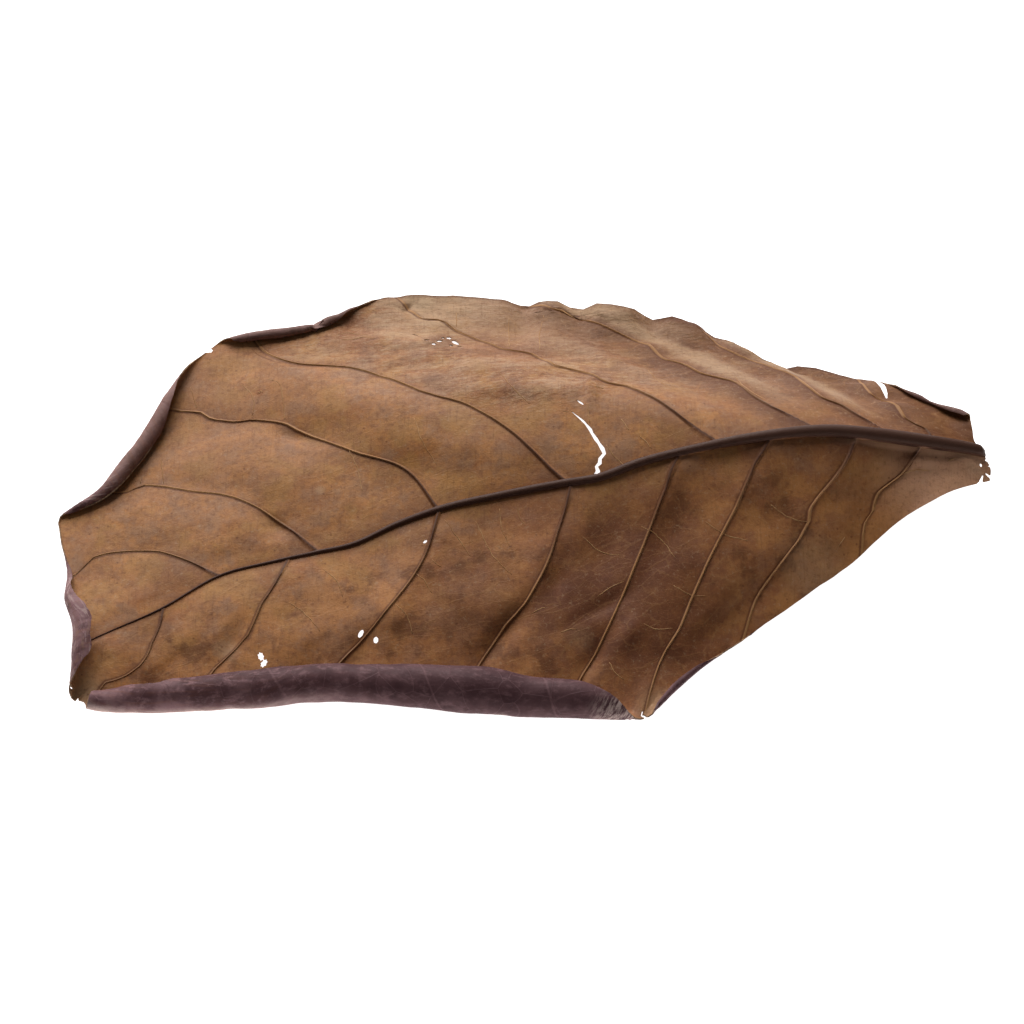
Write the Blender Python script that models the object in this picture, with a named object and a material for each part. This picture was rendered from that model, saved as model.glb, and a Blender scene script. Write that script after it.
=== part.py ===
"""A dried Indian almond leaf, lying on its face with the ribbed back up and its margins rolled over.

The leaf grew as one piece, so it is one closed solid. Lengths in this file are millimetres. X runs
from the tip to the stalk end, Y away from the near margin and Z up from the table.
"""

import math

import bmesh
import bpy
import numpy as np

MM = 0.001

# ---- Driving dimensions ----
BLADE_THICKNESS = 0.4
VEIN_HALF_WIDTH = 0.65
VEIN_HEIGHT = 0.55
VEIN_TAPER = 0.5
MIDRIB_HEIGHT_TO_HALF_WIDTH = 1.15
# The lowest parts are pressed flat on the table by this much, and the frame starts under this point.
PRESSED_FLAT = 0.5
UNDER_MIDDLE = (-0.24, 6.65)

# Midrib from the tip to the broken stalk end, and its half width at places along X.
MIDRIB = [(-101.5, -36.7, 2.4), (-95, -33, 2.5), (-88.5, -29.3, 2.6), (-76.5, -23, 3.0), (-64.5, -15, 3.5),
          (-54, -12, 4.0), (-44, -9.8, 4.6), (-36, -8.2, 5.5), (-27.5, -4.3, 6.8), (-18.5, -1.5, 8.5),
          (-5.5, 1, 10.2), (8.5, 3.0, 12), (16, 3.8, 13), (24.5, 6.5, 14.5), (37, 9, 16.3), (50, 11.5, 17),
          (65, 13.5, 16.5), (76, 13.5, 15), (86, 13.5, 12.8), (93.5, 13.8, 10.5), (99, 14, 8.7)]
MIDRIB_HALF_WIDTH = [(-101.5, 0.15), (-88, 0.25), (-54, 0.5), (-18, 0.85), (37, 1.0), (76, 1.25), (99, 1.35)]

# Rows of the flat blade, before its margins roll. Each starts on the midrib at its first number, a
# place along X, and runs out to the margin through the points given. True marks a side vein.
FAR_ROWS = [
    (-101.5, False, [(-101.3, -35.9, 2.4), (-101, -34.6, 2.4)]),
    (-77.5, False, [(-86, -22.5, 2.8), (-94, -22, 2.5), (-99.7, -23.5, 2.4)]),
    (-64.5, True, [(-72.7, -10.8, 3.6), (-81.2, -8.6, 3.2), (-90, -9, 2.8), (-98.2, -13, 2.4)]),
    (-54, False, [(-63, -4.5, 4.4), (-75, -1, 3.6), (-87, 0.5, 3), (-100.4, 1.2, 2.6)]),
    (-44, True, [(-53.7, -1.1, 5), (-64.4, 5.6, 4.5), (-76.1, 8.5, 3.5), (-88, 10.5, 3), (-97.5, 12.5, 2.8)]),
    (-18.5, True, [(-25.5, 8.2, 9), (-36.9, 14.1, 8.5), (-49.2, 21.3, 6.5), (-69.9, 27.2, 3.5), (-85, 33, 3)]),
    (-6, False, [(-15, 12, 11.3), (-27, 20.5, 10.5), (-44, 30, 7.6), (-61, 41, 4.8), (-69.5, 49, 4)]),
    (8.5, True, [(2, 10.6, 13.4), (-4, 16.9, 13.6), (-14.4, 24.5, 12.5), (-34.9, 35.7, 8.5), (-57, 43.4, 5),
                 (-63, 52, 4)]),
    (25, False, [(15, 18, 14.6), (0, 29, 12.3), (-20, 42, 7.6), (-38, 51, 4.6), (-43.5, 57.5, 3.8)]),
    (40, True, [(33.6, 17.2, 17), (16.7, 29.5, 13), (-3.3, 42.4, 7.5), (-15.3, 50.8, 4.5), (-27, 62, 2.8)]),
    (60.5, True, [(52.8, 21.4, 15), (43.2, 32.3, 10.5), (29.3, 44.3, 5.5), (14.5, 54.5, 2.4), (4.5, 61.6, 1)]),
    (75, True, [(67.5, 23.5, 13), (57, 36, 7.4), (45.5, 45, 3.4), (38, 54.6, 1)]),
    (79, False, [(72.2, 22.9, 12.5), (63.4, 33.3, 7.8), (55.2, 41.3, 4.2), (46.5, 49.6, 1.8)]),
    (81, False, [(74.3, 22.7, 12.2), (66, 32.3, 7.9), (58.5, 39.8, 4.2), (50.4, 47.1, 2)]),
    (82.5, False, [(76.3, 22.5, 12), (68.5, 31.5, 8.1), (62, 38, 4.6), (54.4, 43.8, 1.6)]),
    (84.5, False, [(78.6, 22.3, 11.8), (72, 30, 8.5), (67, 35.8, 5.6), (60.5, 42, 3.2)]),
    (87.5, True, [(82, 22, 11.5), (76.5, 28.5, 9), (73.3, 37, 5.8)]),
    (93.5, False, [(90.5, 19.5, 10.4), (88, 25, 9.2), (87.6, 32.2, 7.6)]),
    (99, False, [(97.4, 17, 9.8), (97, 20, 10), (97, 25, 9.6)]),
]
NEAR_ROWS = [
    (-101.5, False, [(-101.3, -37.4, 2.4), (-100.6, -38.8, 2.4)]),
    (-88, False, [(-90, -35.5, 2.1), (-92.3, -41, 1.3), (-93.4, -44.6, 1.0)]),
    (-77.5, True, [(-79, -34, 2.2), (-83, -39.5, 1.2), (-86.5, -44.5, 0.2), (-88.5, -51.5, 0.2)]),
    (-51, True, [(-53, -17.6, 4.3), (-57.4, -26.3, 3.5), (-64, -36, 1.6), (-68, -43, 0.2), (-75, -57, 0.2)]),
    (-18.5, True, [(-21.5, -12.7, 7), (-28.9, -24.8, 5), (-38, -36, 1.6), (-43.5, -42, 0.2), (-54, -59, 0.2)]),
    (8.5, True, [(6.4, -8.5, 9.7), (1.5, -20.9, 7), (-8.5, -37, 2.0), (-13, -44, 0.2), (-22, -63.5, 0.2)]),
    (33.5, True, [(29.5, 1.1, 13.5), (26, -7.2, 10.5), (18.5, -26, 5.4), (12, -39.5, 1.6), (9.5, -45, 0.2),
                  (3.5, -64, 0.2)]),
    (44, False, [(38.5, 2.3, 14), (34.5, -7, 10.8), (25.5, -27, 5.2), (20.5, -38.5, 2.0), (19.8, -46.5, 0.3),
                 (17.8, -56.5, 0.2)]),
    (49, False, [(45, 2.7, 14.2), (40.6, -6.7, 11), (31, -27, 5.1), (26.8, -37, 2.6), (24.2, -48.3, 0.4)]),
    (51.5, True, [(47.5, 2.9, 14.3), (42.8, -6.6, 11), (33, -27, 5), (28.5, -36.5, 2.6), (25.8, -46.8, 0.4)]),
    (70.5, True, [(67, 6.2, 13.5), (61.5, -1, 10), (55, -12, 6), (50.3, -18.8, 3), (47.3, -27.3, 1)]),
    (84.5, True, [(80.4, 7.5, 10), (75.1, 2.7, 7), (72.3, -2.1, 4.4), (70.8, -9, 1.5)]),
    (92, False, [(89.9, 11.2, 8.2), (87.6, 8.8, 5.2), (85.6, 5.5, 2.3)]),
    (96, False, [(95.5, 12.2, 7.6), (94.5, 10.7, 5.2), (93.2, 9.2, 3)]),
    (99, False, [(99.2, 12.6, 6.8), (99.6, 11, 5), (98, 9.6, 3.4)]),
]

# Height of the swelling between one side vein and the next, from the tip to the stalk.
FAR_SWELLS = [0.3, 0.5, 0.8, 1.2, 1.4, 1.2, 0.6, 0.5, 0.4]
NEAR_SWELLS = [0.2, 0.3, 0.8, 1.5, 1.6, 1.0, 0.8, 0.6, 0.6]

# Rolled margins, each going round the leaf with the outside on its right: the two ends of its fold,
# how far the fold sets in from the line between them, and the radius of the roll, both at even steps.
LEFT_ROLL = ((-100.2, 1.3), (-92.3, -45), [-0.6, -0.2, 0.5, 2.4, 3.0, 2.0, -0.8], [0.9, 0.9, 1.1, 2.2, 3.0, 2.4, 1.0])
FAR_ROLLS = [
    LEFT_ROLL,
    ((-69.3, 48.7), (-100.2, 1.3), [0.8, 1.6, 3.5, 5.2, 6.0, 0.5], [0.8, 1.7, 2.1, 2.2, 2.0, 1.4]),
    ((-47.3, 51.4), (-69.3, 48.4), [0.4, 0.9, 1.1, 0.9], [1.2, 1.3, 1.0, 0.8]),
    ((-30.5, 61.3), (-47.3, 51.4), [0.1, 0.7, 1.2, 0.5], [0.8, 1.1, 1.3, 1.2]),
    ((96.6, 22.9), (76.6, 36.8), [1.3, 1.8, 0.9], [0.9, 1.1, 1.2]),
]
NEAR_ROLLS = [
    LEFT_ROLL,
    ((-92.6, -44.8), (24.4, -48), [0, 0.8, 1.6, 2.9, 4.5, 4.6, 3.9, 3.3, 2.4, 1.9, 0.7],
     [1.0, 2.9, 3.4, 3.8, 3.8, 3.9, 4.4, 4.6, 4.2, 3.6, 2.2]),
]
WIDEST_TURN = 4.7
ROLL_OVERRUN = 0.03

# Waves of the free far margin: where each dip comes along X, and how deep it is.
FAR_DIPS = [(0, 2.8), (12.3, 3.0), (28.8, 3.2), (43, 2.2)]
DIP_HALF_LENGTH = 5.0
WAVE_SHARE_OF_ROW = 0.35
FAR_LIFT = 2.2

# Damage. Holes are (x, y, length, width, turn in degrees); tears are runs of (x, y, width).
HOLES = [(-21.4, -8.3, 0.9, 0.7, 0), (-34.5, -29.4, 1.8, 1.2, 60), (-31.3, -30.9, 1.6, 1.2, 100),
         (-55, -34.7, 2.5, 1.5, 70), (-21.2, 45.6, 1.6, 0.9, 150), (-18.6, 46, 0.9, 0.7, 0),
         (-16.4, 46, 2.4, 1.3, 120)]
TEARS = [
    [(11.2, 24.4, 0.3), (12.3, 23.2, 0.5)],
    [(10.1, 20.9, 0.4), (11.8, 18.9, 0.7), (14.3, 15.4, 0.8), (16.2, 12.1, 1.1), (16.6, 10.5, 1.0),
     (15.7, 8.7, 1.0), (15.2, 6.6, 0.5)],
    [(78.2, 38.5, 1.4), (78.6, 34.5, 1.1), (79, 31.5, 1.0), (79.3, 29.5, 0.4)],
]
CUT_FROM, CUT_TO = -5.0, 30.0

# Fineness of the mesh: rows between the midrib and the fold, rows in the margin, and columns
# between one vein and the next.
FAR_STEPS = (7, 5)
NEAR_STEPS = (6, 8)
COLUMN_GAP = 6.2
ROW_CROWDING = 1.3
FREE_FOLD = 0.92
FOLD_FADE = 5.0
MARGIN_GAP_SHARE = 0.8
SPARE_COLUMN_STEP = 2.2
CORNER_COLUMNS = [44, 46, 47.6, 49, 79, 81, 82.5, 91.8, 96]


def weights(knots, places):
    """Share of each knot's value at each place, on cubic pieces whose slopes come from the neighbours."""
    knots = np.asarray(knots, float)
    places = np.clip(places, knots[0], knots[-1])
    gaps = np.diff(knots)
    unit = np.eye(len(knots))
    rise = np.diff(unit, axis=0) / gaps[:, None]
    inner = (rise[:-1] * gaps[1:, None] + rise[1:] * gaps[:-1, None]) / (gaps[1:] + gaps[:-1])[:, None]
    slopes = np.vstack([rise[:1], inner, rise[-1:]])
    i = np.clip(np.searchsorted(knots, places, side="right") - 1, 0, len(gaps) - 1)
    g = gaps[i][:, None]
    s = (places - knots[i])[:, None] / g
    ends = (1 + 2 * s) * (1 - s) ** 2 * unit[i] + s * s * (3 - 2 * s) * unit[i + 1]
    return ends + g * s * (1 - s) * ((1 - s) * slopes[i] - s * slopes[i + 1])


def even_steps(values, share):
    """A value listed at even steps, read at shares from 0 to 1 of the way."""
    return weights(np.linspace(0, 1, len(values)), share) @ np.array(values, float)


def ease(t):
    """0 to 1 with a level start and end."""
    t = np.clip(t, 0, 1)
    return t * t * (3 - 2 * t)


def midrib(x):
    """Points of the midrib at places along X."""
    points = np.array(MIDRIB, float)
    return weights(points[:, 0], x) @ points


def midrib_half_width(x):
    """Half width of the midrib at places along X."""
    table = np.array(MIDRIB_HALF_WIDTH, float)
    return np.interp(x, table[:, 0], table[:, 1])


class Half:
    """One half of the blade. A point on it has a start x on the midrib and a share t of the way out."""

    def __init__(self, rows, swells, rolls, waves):
        self.starts = np.array([start for start, vein, points in rows], float)
        self.veins = np.array([start for start, vein, points in rows if vein])
        self.cells = np.concatenate([self.starts[:1], self.veins, self.starts[-1:]])
        self.swells = swells
        self.rolls = rolls
        self.waves = waves
        self.rows = []
        for start, vein, points in rows:
            run = np.vstack([midrib(np.array([start])), points])
            knots = np.concatenate([[0], np.cumsum(np.linalg.norm(np.diff(run, axis=0), axis=1))])
            self.rows.append((knots / knots[-1], run - run[0]))

    def flat(self, x, t):
        """Points of the half before its margin rolls."""
        out = np.stack([weights(knots, t) @ run for knots, run in self.rows])
        points = midrib(x) + np.einsum("ni,inc->nc", weights(self.starts, x), out)
        cell = np.clip(np.searchsorted(self.cells, x, side="right") - 1, 0, len(self.swells) - 1)
        across = (x - self.cells[cell]) / (self.cells[cell + 1] - self.cells[cell])
        swell = np.array(self.swells)[cell] * np.sin(math.pi * across) ** 2
        points[:, 2] += swell * np.sin(math.pi * np.clip(t * 1.15, 0, 1)) ** 0.8
        if self.waves:
            reach = ease((t - 1 + WAVE_SHARE_OF_ROW) / WAVE_SHARE_OF_ROW)
            points[:, 2] += FAR_LIFT * ease(1 - np.abs(points[:, 0] - 26) / 45) * reach
            for place, depth in self.waves:
                points[:, 2] -= depth * ease(1 - np.abs(points[:, 0] - place) / DIP_HALF_LENGTH) * reach
        return points

    def past_fold(self, points, roll):
        """How far points lie past a fold, how far along it they are as a share, and the way out from it."""
        start, end, insets, radii = roll
        along = np.subtract(end, start)
        length = np.hypot(*along)
        out = np.array([along[1], -along[0]]) / length
        share = (points[:, :2] - start) @ along / length**2
        past = (points[:, :2] - start) @ out + even_steps(insets, np.clip(share, 0, 1))
        past[(share < -ROLL_OVERRUN) | (share > 1 + ROLL_OVERRUN)] = -1
        return past, np.clip(share, 0, 1), out

    def curl(self, points):
        """Wind up what lies past each fold around its roll."""
        points = points.copy()
        for roll in self.rolls:
            past, share, out = self.past_fold(points, roll)
            past = np.maximum(past, 0)
            radius = np.maximum(even_steps(roll[3], share), past / WIDEST_TURN)
            angle = past / radius
            points[:, :2] += (radius * np.sin(angle) - past)[:, None] * out
            points[:, 2] += radius * (1 - np.cos(angle))
        return points

    def fold_share(self, x):
        """Share of the way out at which the margin of each column starts to roll, and whether it does."""
        tries = np.linspace(0.5, 1, 101)
        first = np.full(len(x), FREE_FOLD)
        rolled = np.zeros(len(x), bool)
        for i, start in enumerate(x):
            points = self.flat(np.full(len(tries), start), tries)
            past = np.max([self.past_fold(points, roll)[0] for roll in self.rolls], axis=0)
            if past.max() > 0.3:
                first[i] = tries[np.argmax(past > 0)]
                rolled[i] = True
        beside = np.interp(x, x[rolled], first[rolled])
        away = np.abs(x[:, None] - x[rolled]).min(axis=1)
        first = beside + (FREE_FOLD - beside) * ease(away / FOLD_FADE)
        return np.minimum(first, 0.97), rolled


FAR = Half(FAR_ROWS, FAR_SWELLS, FAR_ROLLS, FAR_DIPS)
NEAR = Half(NEAR_ROWS, NEAR_SWELLS, NEAR_ROLLS, [])


# ---- Mesh ----
def columns():
    """Columns from the tip to the stalk: where each stands, and its place across a vein from -1 to 1."""
    veins = np.unique(np.concatenate([FAR.veins, NEAR.veins]))
    places = [(FAR.starts[0], 0.0)]
    for x in sorted([*veins, *CORNER_COLUMNS, FAR.starts[-1]]):
        before = places[-1][0]
        ends = [half.flat(np.array([before, x]), np.ones(2)) for half in (FAR, NEAR)]
        at_margin = max(np.linalg.norm(pair[1] - pair[0]) for pair in ends)
        gap = max(x - before, MARGIN_GAP_SHARE * at_margin)
        between = max(0, round(gap / COLUMN_GAP) - 1)
        places += [(x - (x - before) * n / (between + 1), 0.0) for n in range(between, 0, -1)]
        places += [(x, -1.0), (x, 0.0), (x, 1.0)] if x in veins else [(x, 0.0)]
    return np.array(places)


def vein_half_width(half, x, t):
    """Half width of a side vein measured along the midrib, at a share t of the way out."""
    step = 0.01
    ahead = half.flat(x + step, t) - half.flat(x - step, t)
    outward = half.flat(x, t + step) - half.flat(x, t - step)
    outward /= np.linalg.norm(outward, axis=1)[:, None]
    spread = np.linalg.norm(np.cross(ahead, outward), axis=1) / (2 * step)
    narrowing = 1 - VEIN_TAPER * t
    settled = ease(t / 0.08)
    return VEIN_HALF_WIDTH * (settled * narrowing / np.maximum(spread, 0.3) + (1 - settled))


def lay_out(half, places, steps):
    """Middle points of one half as a grid of columns and rows, and how far its back stands up over them."""
    inner, outer = steps
    x, side = places.T
    rib = midrib_half_width(x)
    small = np.full(len(x), 0.01)
    rate = np.linalg.norm(half.flat(x, small) - midrib(x), axis=1) / small
    across_rib = np.array([0, 0.5, 0.87, 1.05])
    foot = 1.25 * rib / rate
    fold, rolled = half.fold_share(x)
    shares = [foot * a for a in across_rib]
    shares += [foot * across_rib[-1] + (fold - foot * across_rib[-1]) * n / inner for n in range(1, inner + 1)]
    shares += [fold + (1 - fold) * (n / outer) ** ROW_CROWDING for n in range(1, outer + 1)]
    t = np.stack(shares, axis=1)
    x = np.repeat(x[:, None], t.shape[1], axis=1)
    owns = np.isin(places[:, 0], half.veins)
    stands = np.unique(places[:, 0])
    for j in np.flatnonzero(side):
        if owns[j]:
            width = vein_half_width(half, x[j], np.clip(t[j], 0.02, 0.98))
        else:
            room = np.sort(np.abs(stands - places[j, 0]))[1]
            spare = min(SPARE_COLUMN_STEP, 0.3 * room)
            width = VEIN_HALF_WIDTH + (spare - VEIN_HALF_WIDTH) * ease(t[j] / 0.3)
        x[j] += side[j] * width
    points = half.flat(x.ravel(), t.ravel()).reshape(t.shape + (3,))
    at_fold = len(across_rib) + inner - 1
    points[rolled, at_fold:, 2] = points[rolled, at_fold, 2][:, None]
    points = half.curl(points.reshape(-1, 3)).reshape(points.shape)
    lift = np.zeros(t.shape)
    crest = owns & (side == 0)
    lift[crest] = VEIN_HEIGHT * (1 - VEIN_TAPER * t[crest]) * ease((1 - t[crest]) / 0.2)
    profile = np.sqrt(np.maximum(0, 1 - across_rib**2))
    lift[:, :4] = np.maximum(lift[:, :4] * across_rib, MIDRIB_HEIGHT_TO_HALF_WIDTH * rib[:, None] * profile)
    return points, lift


def blade_mesh(name):
    """The whole leaf as one closed sheet with its veins standing up from the back."""
    places = columns()
    far, far_lift = lay_out(FAR, places, FAR_STEPS)
    near, near_lift = lay_out(NEAR, places, NEAR_STEPS)
    middle = np.concatenate([near[:, :0:-1], far], axis=1)
    lift = np.concatenate([near_lift[:, :0:-1], far_lift], axis=1)
    normal = np.cross(np.gradient(middle, axis=0), np.gradient(middle, axis=1))
    normal /= np.linalg.norm(normal, axis=2)[:, :, None]
    back = middle + normal * (BLADE_THICKNESS / 2 + lift)[:, :, None]
    face = middle - normal * BLADE_THICKNESS / 2
    level = face[:, :, 2].min() + PRESSED_FLAT
    sunk = np.maximum(level - face[:, :, 2], 0)
    back[:, :, 2] += sunk
    face[:, :, 2] += sunk
    corner = np.array([UNDER_MIDDLE[0], UNDER_MIDDLE[1], level])

    mesh = bmesh.new()
    wide, deep = lift.shape
    top = [[mesh.verts.new((back[j, k] - corner) * MM) for k in range(deep)] for j in range(wide)]
    under = [[mesh.verts.new((face[j, k] - corner) * MM) for k in range(deep)] for j in range(wide)]
    for j in range(wide - 1):
        for k in range(deep - 1):
            mesh.faces.new((top[j][k], top[j + 1][k], top[j + 1][k + 1], top[j][k + 1]))
            mesh.faces.new((under[j][k], under[j][k + 1], under[j + 1][k + 1], under[j + 1][k]))
    for k in range(deep - 1):
        mesh.faces.new((top[0][k], top[0][k + 1], under[0][k + 1], under[0][k]))
        mesh.faces.new((top[-1][k], under[-1][k], under[-1][k + 1], top[-1][k + 1]))
    for j in range(wide - 1):
        mesh.faces.new((top[j][0], under[j][0], under[j + 1][0], top[j + 1][0]))
        mesh.faces.new((top[j][-1], top[j + 1][-1], under[j + 1][-1], under[j][-1]))
    bmesh.ops.triangulate(mesh, faces=mesh.faces)
    data = bpy.data.meshes.new(name)
    mesh.to_mesh(data)
    mesh.free()
    return data


def hole_outline(x, y, length, width, turn):
    """Ragged oval around a hole."""
    turn = math.radians(turn)
    ring = []
    for n in range(9):
        a = math.tau * n / 9
        ragged = 0.5 * (1 + 0.16 * math.sin(3.1 * n + x))
        u, v = length * ragged * math.cos(a), width * ragged * math.sin(a)
        ring.append((x + u * math.cos(turn) - v * math.sin(turn), y + u * math.sin(turn) + v * math.cos(turn)))
    return ring


def tear_outline(run):
    """Outline of a tear, from the points and widths along it."""
    run = np.array(run)
    along = np.gradient(run[:, :2], axis=0)
    along /= np.linalg.norm(along, axis=1)[:, None]
    side = np.stack([-along[:, 1], along[:, 0]], axis=1) * run[:, 2:] / 2
    return np.vstack([run[:, :2] - side, (run[:, :2] + side)[::-1]])


def damage_mesh(name):
    """Upright prisms that cut the holes and tears out of the blade."""
    mesh = bmesh.new()
    for outline in [hole_outline(*hole) for hole in HOLES] + [tear_outline(run) for run in TEARS]:
        ring = [mesh.verts.new((x * MM, y * MM, CUT_FROM * MM)) for x, y in np.subtract(outline, UNDER_MIDDLE)]
        base = mesh.faces.new(ring)
        raised = bmesh.ops.extrude_face_region(mesh, geom=[base])["geom"]
        tops = [v for v in raised if isinstance(v, bmesh.types.BMVert)]
        bmesh.ops.translate(mesh, verts=tops, vec=(0, 0, (CUT_TO - CUT_FROM) * MM))
    bmesh.ops.recalc_face_normals(mesh, faces=mesh.faces)
    data = bpy.data.meshes.new(name)
    mesh.to_mesh(data)
    mesh.free()
    return data


def dry_leaf_material():
    """Dry brown leaf."""
    material = bpy.data.materials.new("dry_leaf")
    material.use_nodes = True
    shader = material.node_tree.nodes["Principled BSDF"]
    shader.inputs["Base Color"].default_value = (0.27, 0.14, 0.065, 1)
    shader.inputs["Roughness"].default_value = 0.62
    shader.inputs["Metallic"].default_value = 0.0
    return material


for old in list(bpy.data.objects):
    bpy.data.objects.remove(old, do_unlink=True)

damage = bpy.data.objects.new("damage_cutter", damage_mesh("damage_cutter"))
damage.hide_render = True
damage.display_type = "WIRE"
bpy.context.collection.objects.link(damage)

leaf = bpy.data.objects.new("leaf", blade_mesh("leaf"))
bpy.context.collection.objects.link(leaf)
leaf.data.materials.append(dry_leaf_material())
leaf.data.shade_smooth()
leaf.data.set_sharp_from_angle(angle=math.radians(50))
cut = leaf.modifiers.new("damage", "BOOLEAN")
cut.operation = "DIFFERENCE"
cut.object = damage
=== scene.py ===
"""A dried Indian almond leaf, lying ribbed back up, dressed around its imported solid.

Lengths are millimetres until a mesh is written. X runs from the tip to the stalk end, Y away from the
near margin and Z up from the table.
"""

import math

import bmesh
import bpy
import numpy as np
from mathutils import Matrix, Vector, noise


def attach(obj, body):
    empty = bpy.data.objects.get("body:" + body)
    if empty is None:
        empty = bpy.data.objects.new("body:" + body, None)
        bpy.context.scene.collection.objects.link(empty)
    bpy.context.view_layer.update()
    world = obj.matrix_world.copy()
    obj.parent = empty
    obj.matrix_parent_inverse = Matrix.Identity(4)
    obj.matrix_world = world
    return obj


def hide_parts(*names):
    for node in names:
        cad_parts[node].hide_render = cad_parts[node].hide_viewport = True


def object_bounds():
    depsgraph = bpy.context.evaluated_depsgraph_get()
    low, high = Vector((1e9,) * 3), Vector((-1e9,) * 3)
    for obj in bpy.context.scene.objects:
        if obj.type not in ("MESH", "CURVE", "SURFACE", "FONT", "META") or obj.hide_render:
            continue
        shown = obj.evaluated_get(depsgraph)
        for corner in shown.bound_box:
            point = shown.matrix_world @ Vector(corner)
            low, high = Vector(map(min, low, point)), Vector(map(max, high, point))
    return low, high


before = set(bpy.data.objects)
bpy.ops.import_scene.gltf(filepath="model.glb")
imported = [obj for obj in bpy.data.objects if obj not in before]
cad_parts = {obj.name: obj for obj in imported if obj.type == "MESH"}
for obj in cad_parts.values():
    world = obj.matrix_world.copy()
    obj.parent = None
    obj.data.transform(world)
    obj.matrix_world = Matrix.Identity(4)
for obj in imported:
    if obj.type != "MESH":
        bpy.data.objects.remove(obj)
solid_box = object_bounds()


# ======== Midrib ========
# The midrib is one woody cord that runs from the drip tip to the broken stalk. It grew with the blade,
# stands up from its back in a half round, and arches with it: high at the stalk, flat at the tip.

MM = 0.001

# The middle of the midrib, from the tip to the stalk. Below it are its half width at places along X, and
# the rows of points that round it off, in half widths from its middle.
MIDRIB = [(-101.5, -36.7, 2.4), (-95, -33, 2.5), (-88.5, -29.3, 2.6), (-76.5, -23, 3.0), (-64.5, -15, 3.5),
          (-54, -12, 4.0), (-44, -9.8, 4.6), (-36, -8.2, 5.5), (-27.5, -4.3, 6.8), (-18.5, -1.5, 8.5),
          (-5.5, 1, 10.2), (8.5, 3.0, 12), (16, 3.8, 13), (24.5, 6.5, 14.5), (37, 9, 16.3), (50, 11.5, 17),
          (65, 13.5, 16.5), (76, 13.5, 15), (86, 13.5, 12.8), (93.5, 13.8, 10.5), (99, 14, 8.7)]
MIDRIB_HALF_WIDTH = [(-101.5, 0.12), (-88, 0.2), (-54, 0.38), (-18, 0.72), (37, 0.98), (76, 1.25),
                     (90, 1.2), (99, 1.08)]
MIDRIB_RISE = 1.15
MIDRIB_ROUND = np.array([0, 0.25, 0.48, 0.68, 0.84, 0.94, 1.0, 1.12, 1.35])
BROKEN_END = 99.4
BROKEN_ROUND = 0.9


def weights(knots, places):
    """Share of each knot's value at each place, on cubic pieces whose slopes come from the neighbours."""
    knots = np.asarray(knots, float)
    places = np.clip(places, knots[0], knots[-1])
    gaps = np.diff(knots)
    unit = np.eye(len(knots))
    rise = np.diff(unit, axis=0) / gaps[:, None]
    inner = (rise[:-1] * gaps[1:, None] + rise[1:] * gaps[:-1, None]) / (gaps[1:] + gaps[:-1])[:, None]
    slopes = np.vstack([rise[:1], inner, rise[-1:]])
    i = np.clip(np.searchsorted(knots, places, side="right") - 1, 0, len(gaps) - 1)
    g = gaps[i][:, None]
    t = (places - knots[i])[:, None] / g
    ends = (1 + 2 * t) * (1 - t) ** 2 * unit[i] + t * t * (3 - 2 * t) * unit[i + 1]
    return ends + g * t * (1 - t) * ((1 - t) * slopes[i] - t * slopes[i + 1])


def ease(t):
    """0 to 1 with a level start and end."""
    t = np.clip(t, 0, 1)
    return t * t * (3 - 2 * t)


def midrib(x):
    """Points of the midrib at places along X."""
    points = np.array(MIDRIB, float)
    return weights(points[:, 0], x) @ points


def midrib_half_width(x):
    """Half width of the midrib at places along X."""
    table = np.array(MIDRIB_HALF_WIDTH, float)
    return np.interp(x, table[:, 0], table[:, 1])


# ======== Blade and side veins ========
# The blade is a leathery sheet a third of a millimetre thick, quilted between side veins that stand
# out of its back as thin cords. As it dried, the veins kinked and the free margin shrank into waves.

BLADE_THICKNESS = 0.3

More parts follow.
